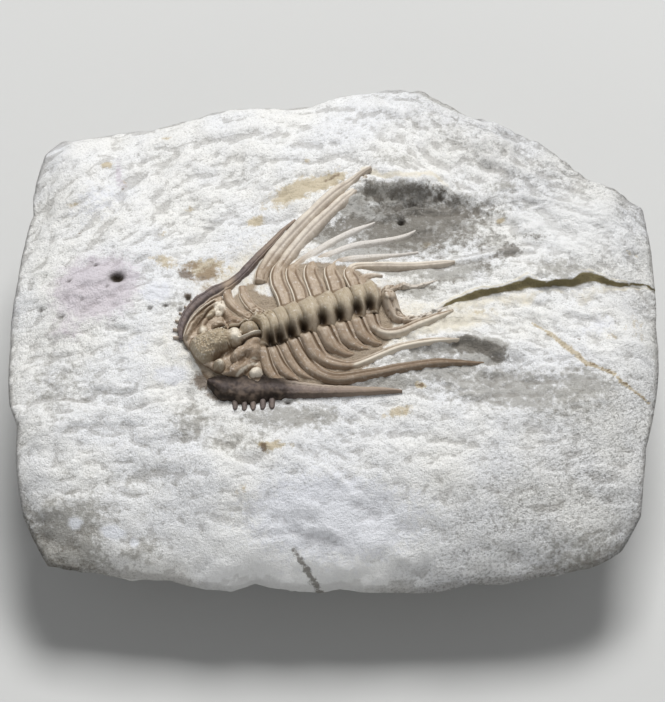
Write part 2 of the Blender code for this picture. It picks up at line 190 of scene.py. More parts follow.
def domeShell(top, fields, rings, ringFields):
    # a gridded top, walls down through rings of points under its border, and a flat base
    index = np.arange(top[..., 0].size).reshape(top.shape[:2])
    upper, quads = borderLoop(index), [gridQuads(index)]
    for ring in range(len(rings)):
        lower = index.size + ring * len(upper) + np.arange(len(upper))
        quads.append(wallQuads(upper, lower))
        upper = lower
    fields = {key: np.concatenate([values.reshape(-1), ringFields[key].reshape(-1)])
              for key, values in fields.items()}
    return dict(points=np.concatenate([top.reshape(-1, 3), rings.reshape(-1, 3)]),
                quads=np.concatenate(quads), caps=[upper[::-1]], fields=fields)


def joined(shells):
    # several closed shells as one set of points, quads, caps and fields
    points, quads, caps, start = [], [], [], 0
    for shell in shells:
        points.append(shell["points"])
        quads.append(shell["quads"] + start)
        caps.extend(np.asarray(cap) + start for cap in shell["caps"])
        start += len(shell["points"])
    keys = shells[0]["fields"]
    fields = {key: np.concatenate([shell["fields"][key].reshape(-1) for shell in shells])
              for key in keys}
    return dict(points=np.concatenate(points), quads=np.concatenate(quads), caps=caps,
                fields=fields)


def newPiece(name, shell, slotName, nodes):
    # one mesh object from a shell in millimetres
    mesh = bpy.data.meshes.new(name)
    points, quads, caps = shell["points"], shell["quads"], shell["caps"]
    loops = np.concatenate([quads.reshape(-1)] + [np.asarray(cap) for cap in caps])
    sizes = np.concatenate([np.full(len(quads), 4), [len(cap) for cap in caps]]).astype(int)
    mesh.vertices.add(len(points))
    mesh.vertices.foreach_set("co", (points * mm).astype(np.float32).reshape(-1))
    mesh.loops.add(len(loops))
    mesh.loops.foreach_set("vertex_index", loops.astype(np.int32))
    mesh.polygons.add(len(sizes))
    mesh.polygons.foreach_set("loop_start", (np.cumsum(sizes) - sizes).astype(np.int32))
    mesh.update(calc_edges=True)
    mesh.validate()
    mesh.shade_smooth()
    for key, values in shell["fields"].items():
        layer = mesh.attributes.new(key, "FLOAT", "POINT")
        layer.data.foreach_set("value", values.astype(np.float32).reshape(-1))
    piece = bpy.data.objects.new(name, mesh)
    bpy.context.scene.collection.objects.link(piece)
    mesh.materials.append(finishes[slotName])
    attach(piece, "root")
    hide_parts(*nodes)


# shader nodes
def feed(tree, item, inputs):
    # link or set each given input; a plain colour gets its alpha
    for key, value in inputs.items():
        socket = item.inputs[key]
        if isinstance(value, bpy.types.NodeSocket):
            tree.links.new(value, socket)
        else:
            socket.default_value = (*value, 1.0) if socket.type == "RGBA" else value


def addNode(tree, kind, inputs, **settings):
    item = tree.nodes.new(kind)
    for key, value in settings.items():
        setattr(item, key, value)
    feed(tree, item, inputs)
    return item.outputs


def times(tree, first, second):
    return addNode(tree, "ShaderNodeMath", {0: first, 1: second}, operation="MULTIPLY")[0]


def plus(tree, first, second):
    return addNode(tree, "ShaderNodeMath", {0: first, 1: second}, operation="ADD")[0]


def fade(tree, value, low, high):
    # smooth step of a value between two levels
    return addNode(tree, "ShaderNodeMapRange", {"Value": value, "From Min": low, "From Max": high},
                   interpolation_type="SMOOTHSTEP")["Result"]


def mixed(tree, factor, first, second):
    return addNode(tree, "ShaderNodeMix", {0: factor, 6: first, 7: second}, data_type="RGBA")[2]


def coated(tree, colour, coats):
    # tints laid over a colour in turn, each given as its mask, the mask's levels, strength and tint
    for mask, levels, strength, tint in coats:
        amount = fade(tree, mask, *levels) if levels else mask
        colour = mixed(tree, times(tree, amount, strength), colour, tint)
    return colour


def noise(tree, place, scale, detail, roughness=0.55):
    return addNode(tree, "ShaderNodeTexNoise", {"Vector": place, "Scale": scale, "Detail": detail,
                                                "Roughness": roughness})["Fac"]


def attribute(tree, name):
    return addNode(tree, "ShaderNodeAttribute", {}, attribute_name=name)["Fac"]


def newGroup(name, inputs, outputs):
    # a node group's tree, what it is given and its end node
    tree = bpy.data.node_groups.new(name, "ShaderNodeTree")
    for direction, sockets in (("INPUT", inputs), ("OUTPUT", outputs)):
        for key, kind in sockets.items():
            tree.interface.new_socket(key, in_out=direction, socket_type=kind)
    return tree, tree.nodes.new("NodeGroupInput").outputs, tree.nodes.new("NodeGroupOutput")


def useGroup(tree, group, **inputs):
    return addNode(tree, "ShaderNodeGroup", inputs, node_tree=group)


def millimetreGroup():
    # object coordinates in millimetres, straight and turned into the fabric of the rock
    tree, _, end = newGroup("millimetres", {}, {"Place": "NodeSocketVector",
                                                "Fabric": "NodeSocketVector"})
    start = addNode(tree, "ShaderNodeTexCoord", {})["Object"]
    place = addNode(tree, "ShaderNodeVectorMath", {0: start, "Scale": 1.0 / mm}, operation="SCALE")[0]
    swung = addNode(tree, "ShaderNodeVectorRotate", {"Vector": place, "Angle": math.radians(-24.0)},
                    rotation_type="Z_AXIS")[0]
    fabric = addNode(tree, "ShaderNodeVectorMath", {0: swung, 1: (0.7, 1.0, 1.0)},
                     operation="MULTIPLY")[0]
    feed(tree, end, {"Place": place, "Fabric": fabric})
    return tree


# the stone: its outline from above goes counter-clockwise from the right side, and each hollow is
# x, y, radius along, radius across and depth
stone = dict(
    outline=[(26.3, 0.1), (26.35, 4), (26.1, 7.4), (25.6, 10.7), (23.5, 12.1), (21.2, 13), (19, 14.9),
             (17.9, 16.1), (15.5, 17.5), (11.4, 19.1), (8.7, 20.8), (7.2, 21.3), (3.9, 21.1), (0.5, 20.7),
             (-1.8, 20), (-6.2, 19.5), (-11.2, 19), (-15.4, 18.1), (-19.1, 17.6), (-22.7, 17.2),
             (-24.1, 15.9), (-25, 11.9), (-24.9, 10.2), (-25.9, 4), (-26.35, -1.7), (-26.2, -6.9),
             (-25.5, -8.8), (-25.5, -12.2), (-24.9, -15.7), (-22.9, -19.4), (-18.8, -19.9), (-13.1, -20.5),
             (-8.3, -21.3), (-6.3, -20.8), (-3.9, -21.2), (0.5, -21.1), (5.3, -21.2), (10.9, -20.8),
             (16.5, -20.3), (21.1, -19.3), (23.1, -18.1), (24.6, -15.7), (24.8, -13.3), (25.1, -10.4),
             (25.9, -7.1)],
    length=52.7, depth=42.6, crest=17, crestY=2, endFall=0.0026, backFall=0.0012, frontFall=0.0075,
    shoulderY=-12, shoulderReach=9.3, shoulderFall=2.5, edgeRoll=1.8, edgePower=14, baseScale=0.84,
    baseShift=2.4, columns=292, rows=236, sideRings=22, focus=0.3, ledgeReach=3.5,
    hollows=[(7.5, 6.8, 7, 3.2, 0.9), (-7, -7.2, 6, 2.4, 0.5), (12.5, -6.2, 4.5, 1.6, 0.5)],
    ledgeSharpness=1.4, shoulderPower=1.6, sideStep=1.15, sideTaper=1.4, sideRough=0.75, sideInset=0.55,
    sideLayer=0.12)

# ledges: the ground beyond the top line stands higher; foot and top as x, y and rise as x, height
ledges = dict(
    scarp=dict(
        foot=[(-2, 12.4), (1, 11.4), (2, 10.9), (3, 10.6), (4.2, 10.4), (7, 10.4), (8.8, 10.5), (10, 9.9),
              (13.6, 8.3), (17.5, 6.3)],
        top=[(-2, 13.2), (1, 12.3), (3.1, 12), (3.8, 11.6), (6, 11.5), (8.1, 11.7), (9.1, 11.2),
             (10.1, 10.7), (13.6, 9.1), (17.5, 6.7)],
        rise=[(-2, 0), (1.5, 0.3), (2.8, 1.2), (5.5, 1.3), (9, 1), (11.5, 0.4), (17.5, 0)]),
    crack=dict(
        foot=[(7, -1), (9.9, 0.55), (11.4, 1), (12.8, 1.4), (14.2, 1.7), (15.7, 2), (17.1, 2.3),
              (19.6, 2.45), (20.8, 2.75), (22.1, 3.05), (24.3, 3.45), (26.5, 3.5)],
        top=[(7, -0.8), (9.9, 0.85), (11.4, 1.4), (12.8, 1.75), (14.3, 2.2), (15.7, 2.65), (16.7, 2.5),
             (18, 2.6), (19.3, 2.9), (20, 3.5), (20.8, 3.6), (21.6, 3.45), (22.5, 3.4), (24.3, 3.6),
             (26.5, 3.6)],
        rise=[(7, 0), (9.4, 0.35), (12.8, 0.6), (15.8, 0.65), (19.8, 0.9), (24, 0.5), (26.5, 0.3)]),
    wedge=dict(
        foot=[(5, -4.4), (8.5, -3.7), (11.7, -3.8), (13.7, -4.3), (15.4, -4.2), (18, -5)],
        top=[(5, -4), (8.5, -3), (10.4, -2.2), (11.7, -2.5), (13.4, -3), (15, -3.4), (18, -4.6)],
        rise=[(5, 0), (8.5, 0.4), (11.3, 0.85), (13.2, 0.8), (14.8, 0.3), (17, 0)]),
    side=dict(
        foot=[(-26.5, -7.4), (-21, -7.8), (-16.5, -8.4)], top=[(-26.5, -6.8), (-21, -7.4), (-16.5, -8)],
        rise=[(-26.5, -0.7), (-21, -0.4), (-16.5, 0)]),
    sill=dict(
        foot=[(11.5, 13.9), (12.6, 13.5), (13.7, 13.1), (14.5, 12.7), (16, 12)],
        top=[(11.5, 14.2), (12.6, 13.9), (13.7, 13.5), (14.5, 13.1), (16, 12.3)],
        rise=[(11.5, 0), (12.6, 0.45), (14.5, 0.4), (16.5, 0)]),
    crease=dict(
        foot=[(-7, -18.3), (-5.7, -18), (-2.7, -18), (-0.3, -18.3), (1.5, -19.2)],
        top=[(-7, -18), (-5.7, -17.7), (-2.7, -17.7), (-0.3, -18), (1.5, -18.8)],
        rise=[(-7.5, 0), (-5, 0.4), (-0.5, 0.55), (1.6, 0)]))

# long waves of the top face as height, turns along x, turns along y and phase
swells = [(0.16, 0.34, 0.21, 0.6), (0.12, 0.19, -0.43, 2.1), (0.07, 0.71, 0.52, 4)]

# the parts of the top face that broke differently, as slopes along x and y and two levels
partEdges = dict(upperRight=(1, 0.9, 20, 27), corner=(-0.8, -1, 32, 37), front=(0, -1, 11, 17),
                 lowerRight=(1, -1.2, 24, 34))
smoothPatch = [(21, 5, 6.5, 5.5, 0, 1)]

# stains, dust and rubble as spots of x, y, radius along, radius across, turn, strength; some of the dust,
# grey and umber spots are painted shade and some chalk spots painted light
stoneSpots = dict(
    ochre=[(-10.4, 3.7, 2, 0.9, 5, 0.9), (-13.6, 4.3, 1.6, 0.7, -10, 0.6), (-0.8, 11.5, 2, 0.75, 25, 1.2),
           (-3, 10.6, 2.6, 1, 28, 1.05), (-6.4, 7.9, 0.9, 0.5, 20, 1), (5.2, -8.9, 1.5, 0.5, 12, 0.75),
           (-18.8, 13.6, 0.5, 0.45, 0, 1), (-13.9, 16.2, 0.35, 0.3, 0, 0.8),
           (-11.8, 9.35, 0.4, 0.3, -30, 0.8), (-13.9, 7.1, 0.4, 0.3, 0, 0.6),
           (-21.3, 9.9, 0.8, 0.3, 10, 0.55), (-17.2, 12.1, 0.3, 0.5, 0, 0.6),
           (-4.8, -11.7, 1.5, 0.5, 0, 0.75), (-7.4, -15, 1, 0.5, 10, 0.4), (13.6, 8.3, 0.4, 0.25, 0, 0.9),
           (24.3, 6, 0.8, 0.2, -10, 0.5), (22.3, -2, 0.8, 0.5, 0, 0.45), (24.6, -0.9, 1.2, 1.3, 20, 0.4),
           (7.6, 6.2, 0.7, 0.5, 10, 0.6), (6.9, -6.75, 0.45, 0.3, 0, 0.95), (12.2, 0.1, 1.5, 0.4, 20, 0.35),
           (-2, 13.6, 0.6, 0.3, 20, 0.5)],
    # umber: dark brown spots, partly painted shade in small holes and beside the front of the left cheek
    umber=[(-12, 3.2, 0.9, 0.5, -20, 0.85), (-11.8, 1.2, 0.45, 0.4, 0, 0.7),
           (-0.2, 11.9, 0.9, 0.3, 30, 0.65), (-13.9, 16.3, 0.15, 0.15, 0, 1),
           (-17.4, 11.5, 0.15, 0.2, 0, 0.8), (6.9, -6.75, 0.3, 0.15, 0, 1),
           (-5.6, -11.8, 0.3, 0.35, 0, 0.9), (19, 8.3, 0.25, 0.15, 0, 0.7),
           (-20.8, 7.4, 0.25, 0.12, 0, 0.7), (19.7, -2.3, 0.25, 0.12, 0, 0.7),
           (-10.5, -6.2, 0.9, 0.7, -20, 1), (-9.4, -7.4, 1, 0.45, -20, 0.8), (8.4, 5.9, 0.5, 0.3, 15, 0.55),
           (-9.6, -0.9, 0.6, 0.5, 0, 0.5)],
    lilac=[(-19.3, 2.2, 4, 3.2, 10, 1), (-21.5, -1, 2.5, 1.8, 0, 0.5), (-17.8, 12.9, 0.25, 1.6, 0, 0.9),
           (-17.4, 11.9, 0.6, 0.6, 0, 0.6)],
    bluish=[(-13, -5.7, 1.6, 0.9, 0, 1), (-14.3, 1.5, 1.6, 1.2, 0, 0.8), (-16, -3, 2, 1.5, 0, 0.5),
            (0, -16.8, 8, 3.2, 0, 1), (21.5, -1, 2, 1.2, 20, 0.6), (-19.5, 10, 3.5, 2.5, 20, 0.5)],
    crystal=[(-20.6, -16.8, 0.7, 0.45, 0, 1), (-17.6, -17.6, 1.1, 0.5, -10, 1),
             (-15.9, -18.3, 0.5, 0.5, 0, 0.8)],
    # grey: the bowl's grey-olive floor and the trough, partly their own grey and partly painted shade where
    # they lie in shade
    grey=[(14.3, 5.4, 1.6, 0.9, 10, 0.7), (12.2, 3.9, 1.3, 0.6, 10, 0.5), (16.5, 6.8, 1.4, 0.7, 0, 0.4),
          (7.8, 9, 5.5, 1.4, 0, 0.75), (6, 7.2, 6.5, 2.2, 0, 0.7), (1, 7.4, 2.5, 1.2, 25, 0.8),
          (11.5, 6.3, 3, 1.5, 0, 0.35), (8, 2, 3, 0.8, 10, 0.35), (12.3, -3.5, 0.9, 0.3, -40, 1.1),
          (10.6, -2.6, 1.2, 0.25, 15, 0.8), (7.9, -0.45, 1.4, 0.2, 22, 0.6)],
    rubble=[(5.5, 9.9, 4.2, 1.2, 6, 1), (6.5, 7.6, 4.5, 1.6, 8, 0.4), (12, -3.2, 1.6, 0.7, -30, 0.6),
            (17, 9, 5, 4.5, -20, 0.3), (-9.9, -6.6, 1, 0.6, -20, 0.6), (-1.5, 12.8, 2.5, 0.8, 20, 0.3),
            (14, -7, 8, 3, -5, 0.2)],
    # dust: some real dust, mostly painted shade darkening the front corners, the bowl, the foot of the
    # scarp and the ground beside the spines
    dust_and_shade=[(16, -15.5, 9.5, 4.5, 0, 0.3), (21, -20, 6, 4, 0, 0.6), (14.5, -6.8, 8.5, 2.4, -6, 0.75),
          (9.8, 3.3, 5, 1.3, 8, 0.75), (8.5, -5.2, 5, 1.6, 0, 0.8), (6.8, 1.6, 2.5, 1, 0, 0.75),
          (20, -6.2, 3, 2, 0, 0.75), (18.5, 3.6, 3.5, 1.6, 0, 0.65), (1.6, 9.3, 1.8, 1.2, 50, 1.1),
          (4.5, -6.6, 3.5, 0.8, 8, 0.85), (8.5, -3.6, 3.5, 0.8, 8, 0.8), (5.5, 3.5, 2.5, 0.8, 8, 0.85),
          (11.5, -4.2, 2.2, 0.8, 0, 0.9), (2.5, 5.2, 4.5, 1.7, 15, 0.85), (-11.3, -9.6, 2, 2.2, 0, 0.65),
          (-8, -11.2, 4.5, 1.5, 0, 0.5), (-3.5, -9.2, 5, 1.3, 0, 0.75), (-19.6, -16.2, 3.5, 1.8, 0, 0.6),
          (-15.5, -18.8, 2.5, 1.2, 0, 0.6), (2.6, 8.6, 1.3, 1.3, 30, 1), (-0.2, 6.2, 1.3, 1.6, 45, 1.1),
          (12.8, 6.3, 2.5, 1, 0, 0.6), (14, 11.3, 1.5, 1, 0, 0.6), (5, 13.6, 3.5, 1, 0, 0.5),
          (3.3, 11, 0.8, 0.8, 0, 0.8), (-22, -6, 6, 6, 0, 0.4), (-16, -14, 8, 4, 0, 0.35),
          (-22, -18, 5, 3.5, 0, 0.8), (6.5, 7.8, 6.8, 3.2, 8, 1.1), (5, 10.6, 3.4, 0.9, 0, 1.2),
          (12.5, 4, 4, 2, 10, 0.35), (9.5, 17, 6, 2.5, -20, 0.3), (12, -3, 2.5, 0.7, -5, 1),
          (10, 0, 4, 0.5, 15, 0.4), (-12.5, 0.8, 1.6, 1.6, 0, 0.5)],
    tan=[(-10.2, 3.3, 1.4, 0.9, 30, 0.8), (-11.6, 3.9, 1.2, 0.5, 10, 0.7), (-10.3, 1.9, 0.9, 0.7, 20, 0.5)],
    # chalk: pale patches, also painted light brightening the front slope and the right part of the top
    chalk_and_light=[(-1, -18.5, 13, 3.5, 0, 0.8), (-3, -20.3, 8, 1.6, 0, 1.2), (19.5, 8, 6, 4, 0, 0.7),
           (2, 14.5, 5, 2, -10, 0.35)])
# single spots of the same kind: pits, painted near-black as shade, the bowl's floor, and a pale and a clean
# patch
stonePits = [(-17.61, 2.96, 0.5, 0.32, 0, 0.75), (-19.36, 4.21, 0.2, 0.13, 0, 0.3),
             (-21.53, 2.89, 0.18, 0.14, 0, 0.3), (-23.76, 0.79, 0.2, 0.15, 0, 0.3),
             (-14.85, 0.13, 0.2, 0.15, 0, 0.3), (-22.1, -0.04, 0.2, 0.12, 0, 0.25),
             (-13.56, 0.33, 0.22, 0.15, 0, 0.35), (-11.79, 1.04, 0.2, 0.22, 0, 0.45),
             (-12.41, -0.08, 0.2, 0.2, 0, 0.3), (5.5, 8.35, 0.26, 0.18, 0, 0.7),
             (-18.4, 2.2, 0.15, 0.12, 0, 0.2), (-20.4, 1.2, 0.17, 0.12, 0, 0.2),
             (-3.7, -7.9, 0.25, 0.14, 0, 0.35)]
bowlPlace = [(7, 7.8, 6.5, 2.8, 8, 1)]
creamBand = [(11, -0.8, 4.5, 1.2, 15, 1)]
cleanPatch = [(-5.5, 1.4, 1.1, 0.75, -15, 1)]
# ribs across the bowl as points and height
bowlRibs = [([(4, 8.6), (6.6, 9.6), (9.5, 9.4)], 0.2),
            ([(8.5, 4.2), (11.5, 4.6), (13.5, 5.4), (16, 5.6)], 0.25)]
# stone tinted tan under the shell, partly a brown stain and partly painted shade between the bars, as
# middle, radii, lean and strength in the animal's frame
shellShadows = [((4.6, -0.1), (7.4, 5.8), 0.06, 1.2), ((-2.4, 0.2), (2.7, 4.4), 0, 1)]
# the rusty streak as points, and its width as x, width
streak = dict(
    line=[(15.9, -0.85), (16.6, -1.3), (17.6, -2), (19.4, -3.5), (20.3, -4.4), (21.4, -4.7), (22.4, -5.1),
          (23.1, -5.8), (24.2, -6.25), (25.4, -6.95)],
    width=[(15.9, 0.1), (17.6, 0.2), (19.4, 0.28), (20.3, 0.22), (21.4, 0.12), (22.4, 0.16), (24.2, 0.14),
           (25.4, 0.1)])
scratch = [(-3.25, -18.95), (-2.54, -19.8), (-1.75, -20.71), (-1.03, -21.29)]

# relief drawn out along the rock's flakes: size, layers, stretch and shift of the noise
reliefs = dict(flakes=(2.6, 3, 2.4, 9.7), chips=(0.8, 3, 1.6, 14.2), creases=(3.4, 3, 2.8, 27.0),
               bowl=(1.3, 3, 3.0, 55.0), blocks=(3.0, 3, 1.6, 21.0), folds=(5.2, 3, 3.0, 90.0))
scarpForm = dict(plate=0.32, ragged=1.4, stretch=1.8, reach=1.5)

# rock left standing round the fossil: height under the body and beside the long spines
bank = dict(
    body=0.34, spine=0.3, reach=1, ragged=0.7, middle=(3.4, 0.1), length=8.8, width=6.2,
    spines=[("left", 4), ("left", 5), ("left", 9), ("right", 3), ("right", 4)])
# the animal's own frame on the stone: s runs towards its tail and n to its right; and the oval of
# calmer rock round it
body = dict(origin=(-6.7, -2.6), turn=16.7, lift=0.2, sink=0.25, middle=(5, 0.8), radii=(12.5, 8.5))


def ledgeParts(x, y, key):
    # height that a ledge adds, how far up its face each point lies, and its whole rise there
    foot, top, rise = (along(x, ledges[key][part]) for part in ("foot", "top", "rise"))
    middle, half = (foot + top) / 2.0, (top - foot) / 2.0
    off = y - middle
    away = np.maximum(np.abs(off) - half, 0.0)
    step = 0.5 * rise * np.tanh(stone["ledgeSharpness"] * off / half)
    return step * np.exp(-away / stone["ledgeReach"]), off / half, rise


def stoneHeight(x, y, reach):
    # dome, steeper front shoulder, rolled rim, ledges, hollows and long waves
    away = y - stone["crestY"]
    height = stone["crest"] - stone["endFall"] * x ** 2
    height = height - np.where(away > 0.0, stone["backFall"], stone["frontFall"]) * away ** 2
    shoulder = np.maximum(stone["shoulderY"] - y, 0.0) / stone["shoulderReach"]
    height = height - stone["shoulderFall"] * shoulder ** stone["shoulderPower"]
    height = height - stone["edgeRoll"] * reach ** stone["edgePower"]
    for key in ledges:
        height = height + ledgeParts(x, y, key)[0]
    for midX, midY, radiusX, radiusY, depth in stone["hollows"]:
        height = height - depth * bump(ovalReach(x, y, (midX, midY), (radiusX, radiusY)), 1.0)
    return height + sum(rise * np.sin(turnsX * x + turnsY * y + phase)
                        for rise, turnsX, turnsY, phase in swells)


def bedHeight(x, y):
    return stoneHeight(x, y, 0.0)


def regionMasks(x, y):
    # weights of the parts of the top face that broke differently
    masks = {key: ease(slopeX * x + slopeY * y, low, high)
             for key, (slopeX, slopeY, low, high) in partEdges.items()}
    fossil = 1.25 - ovalReach(*fromStone(x, y), body["middle"], body["radii"])
    masks["fossil"] = np.clip(2.0 * fossil, 0.0, 1.0)
    return masks


def terraced(value):
    # flat treads with short steep risers between them
    whole = np.floor(value)
    return whole + ease(value - whole, 0.38, 0.62)


# lie of the rock's flakes in degrees at places x, y; and the directions they are blended from
flakeLie = [(-18.2, 10.8, 37), (-6.2, 14.8, 13), (8.6, 15.3, -22), (20.6, 6.4, -20), (-19.4, -5.3, 10),
            (-17.8, -14.2, -8), (-1.8, -14.2, -10), (-3, -21.6, -11), (17, -15, 4), (21, -20, 42),
            (19, -4, -9), (6.2, 7.3, 4)]
flakeTurns = (-22, 5, 36)
turnReach = 29.0


def flaked(x, y, z, size, layers, stretch, shift, shape):
    # noise drawn out along the local lie of the flakes, blended from three fixed directions
    lie, weight = 0.0, 0.0
    for midX, midY, degrees in flakeLie:
        near = 1.0 / (4.0 + (x - midX) ** 2 + (y - midY) ** 2) ** 1.5
        lie = lie + near * degrees
        weight = weight + near
    lie = lie / weight
    total = 0.0
    for k, degrees in enumerate(flakeTurns):
        run, rise = turned(x, y, (0.0, 0.0), degrees)
        share = np.sqrt(np.clip(1.0 - np.abs(lie - degrees) / turnReach, 0.0, 1.0))
        total = total + share * shape(layeredNoise(run / stretch, rise, z, size, layers,
                                                   shift + 31.0 * k))
    return total


def stoneDetail(x, y, z, masks):
    # soft lumps and folds, thin flakes and chips along the rock's fabric, and blocks at the right
    def drawn(key, shape):
        return flaked(x, y, z, *reliefs[key], shape)

    def stepped(steepness):
        return lambda value: terraced(steepness * value)

    calm = 1.0 - 0.6 * masks["fossil"]
    calm = calm * (1.0 - 0.4 * spotField(x, y, smoothPatch))
    rough = calm * (1.0 + 0.6 * masks["upperRight"] + 0.6 * masks["corner"])
    even = 1.0 - 0.45 * np.clip(masks["front"] + masks["lowerRight"] - masks["corner"], 0.0, 1.0)
    upper = np.maximum(ease(y, 3.0, 9.0), ease(x, 13.0, 18.0) * ease(y, -6.0, 0.0))
    lumps = 0.26 * layeredNoise(x, y, z, 5.0, 2, 3.1)
    for points, height in bowlRibs:
        lumps = lumps + height * bells(lineDistance(x, y, points), [(1, 0, 0.22), (-0.7, 0.45, 0.25)])
    folds = 0.16 * (1.0 + 0.2 * upper) * drawn("folds", stepped(1.8))
    flakes = 0.12 * (1.0 + 0.35 * upper) * even * drawn("flakes", stepped(2.2))
    flakes = flakes + 0.27 * spotField(x, y, bowlPlace) * drawn("bowl", lambda value: value)
    creases = drawn("creases", lambda value: np.maximum(1.0 - np.abs(7.0 * value), 0.0))
    sparse = ease(flatNoise(x, y, 3.0, 2, 47.0), 0.0, 0.35)
    chips = 0.075 * even * drawn("chips", lambda value: value) - 0.14 * sparse * creases
    blocks = 0.2 * masks["upperRight"] * drawn("blocks", stepped(2.2))
    return (lumps + folds) * calm + rough * (flakes + chips) + blocks * calm


def scarpHoles(x, y):
    # small hollows broken in under the edge of the scarp, darkened with painted shade
    foot = along(x, ledges["scarp"]["foot"])
    band = bump(y - foot + 0.1, 0.7) * ease(x, 1.2, 2.6) * ease(-x, -12.0, -9.5)
    return band * ease(flatNoise(x / scarpForm["stretch"], y, 0.6, 3, 71.0), 0.0, 0.4)


def scarpPlates(x, y, wobble):
    # what breaking the scarp into thin stacked plates adds to its height
    f = scarpForm
    scarp = ledgeParts(x, y + wobble, "scarp")[0]
    plates = scarp / f["plate"] + f["ragged"] * flatNoise(x / f["stretch"], y, 1.3, 3, 33.0)
    near = ease(along(x, ledges["scarp"]["rise"]), 0.2, 1.0)
    near = near * bump(y - along(x, ledges["scarp"]["foot"]) - 0.3, f["reach"])
    return near * (f["plate"] * terraced(plates) - scarp)


def stoneFields(x, y, wobble, masks, holes):
    # markings of the top face, each from nought to one
    fields = {key: spotField(x, y, spots) for key, spots in stoneSpots.items()}
    fossil, upperRight = masks["fossil"], masks["upperRight"]

    def atLeast(key, values):
        fields[key] = np.maximum(fields[key], values)

    up, rise = ledgeParts(x, y + wobble, "crack")[1:]
    crack = ease(rise, 0.1, 0.4)
    # the crack's face is painted dark olive: partly its olive stain, partly painted shade on the face
    # turned from the light
    fields["olive"] = crack * bump(up, 1.15)
    cream = crack * bells(up, [(0.8, 1.9, 0.6), (0.5, -3.2, 2.4)])
    up, rise = ledgeParts(x, y + wobble, "scarp")[1:]
    # painted shade on the scarp's face and at its foot
    atLeast("grey", 0.5 * ease(rise, 0.4, 1.0) * bump(up + 0.2, 1.1))
    cream = cream + 0.8 * ease(rise, 0.5, 1.0) * bump(up - 1.7, 0.7)
    up, rise = ledgeParts(x, y + wobble, "wedge")[1:]
    # painted shade on the wedge's face
    atLeast("grey", ease(rise, 0.3, 0.8) * bump(up + 0.2, 1.0))
    atLeast("grey", 0.8 * bump(lineDistance(x, y, scratch), 0.24))
    # painted shade in the holes under the scarp
    atLeast("grey", 0.6 * holes)
    off = lineDistance(x, y + 0.3 * wobble, streak["line"])
    atLeast("ochre", bump(off, along(x, streak["width"])) * ease(x, 15.6, 16.2))
    atLeast("umber", 0.5 * bump(off - 0.12, 0.1) * ease(x, 16.0, 18.0))
    cream = cream + 0.5 * fossil + 0.1 * upperRight + 0.5 * spotField(x, y, creamBand)
    fields["cream"] = cream * (1.0 - 0.85 * np.clip(1.2 * fields["dust_and_shade"], 0.0, 1.0))
    s, n = fromStone(x, y)
    for middle, radii, lean, strength in shellShadows:
        under = 1.0 - ovalReach(s, n + lean * s, middle, radii) ** 2
        atLeast("tan", strength * ease(under, 0.0, 0.3))
    fields["tan"] = fields["tan"] * (1.0 - spotField(x, y, cleanPatch))
    fields["coarse"] = np.maximum.reduce([masks["corner"], 0.4 * upperRight, 0.6 * masks["lowerRight"]])
    return fields


def bankHeight(x, y):
    # raised under the body and along the spines, ragged where it laps over the shell
    s, n = fromStone(x, y)
    away = ovalReach(s, n, bank["middle"], (bank["length"], bank["width"]))
    under = ease(1.0 - away ** 2, 0.0, 0.3)
    height = bank["body"] * under
    for side, number in bank["spines"]:
        path = [row[:2] for row in segments[number - 1][side][3:]]
        height = np.maximum(height, bank["spine"] * bump(lineDistance(s, n, path), bank["reach"]))
    return height * (1.0 + bank["ragged"] * (1.4 - under) * flatNoise(x, y, 0.9, 3, 81.0))


def stoneTop():
    # points and markings of the broken top face
    x, y, reach = warpGrid(stone["columns"], stone["rows"], stone["outline"], (0.0, 0.0),
                           stone["length"], stone["depth"], stone["focus"])
    masks = regionMasks(x, y)
    wobble = 0.3 * flatNoise(x, y, 2.4, 4, 40.0)
    z = stoneHeight(x, y + wobble, reach)
    z = z + stoneDetail(x, y, z, masks)
    pits, holes = spotField(x, y, stonePits), scarpHoles(x, y)
    z = z - pits - 0.25 * holes + bankHeight(x, y)
    z = z + scarpPlates(x, y, wobble)
    z = z - 0.1 * bump(lineDistance(x, y, scratch), 0.22)
    fields = stoneFields(x, y, wobble, masks, holes)
    # how far each point lies below its neighbours, used for painted shade in hollows and painted highlight
    # on rises
    fields["hollow"] = cavity(z, 3, 0.06)
    # pits and the holes under the scarp are painted near-black as shade
    fields["pit"] = np.maximum(np.clip(pits * 3.0, 0.0, 1.0), 0.4 * holes ** 2)
    return np.stack([x, y, z], axis=-1), fields


def stoneSides(rim, rimFields):
    # rings of points down the broken, layered sides, and the markings fading out below the rim
    rings = stone["sideRings"]
    step = (np.arange(1, rings + 1) / rings)[:, None] ** stone["sideStep"]
    scale = 1.0 - (1.0 - stone["baseScale"]) * step ** stone["sideTaper"]
    x = rim[:, 0] * scale
    y = rim[:, 1] * scale + stone["baseShift"] * step
    z = rim[:, 2] * (1.0 - step)
    rough = stone["sideRough"] * layeredNoise(x, y, z * 1.6, 5.0, 4, 1.7) - stone["sideInset"]
    rough = rough + stone["sideLayer"] * terraced(3.0 * layeredNoise(x * 0.25, y * 0.25, z, 1.6, 2, 8.0))
    rough = rough * np.minimum(step * 12.0, 1.0)
    spread = 1.0 + rough / np.hypot(x, y)
    fields = {key: values * (1.0 - ease(step, 0.0, 0.25)) for key, values in rimFields.items()}
    fields["coarse"] = np.maximum(fields["coarse"], 0.5 * ease(step, 0.0, 0.1))
    # hollows of the sides, for painted shade
    fields["hollow"] = cavity(-rough, 2, 0.12)
    return np.stack([x * spread, y * spread, z], axis=-1), fields


def buildStone():
    top, fields = stoneTop()
    rimFields = {key: borderLoop(values) for key, values in fields.items()}
    shell = domeShell(top, fields, *stoneSides(borderLoop(top), rimFields))
    newPiece("matrix_stone", shell, "limestone", ["matrix"])


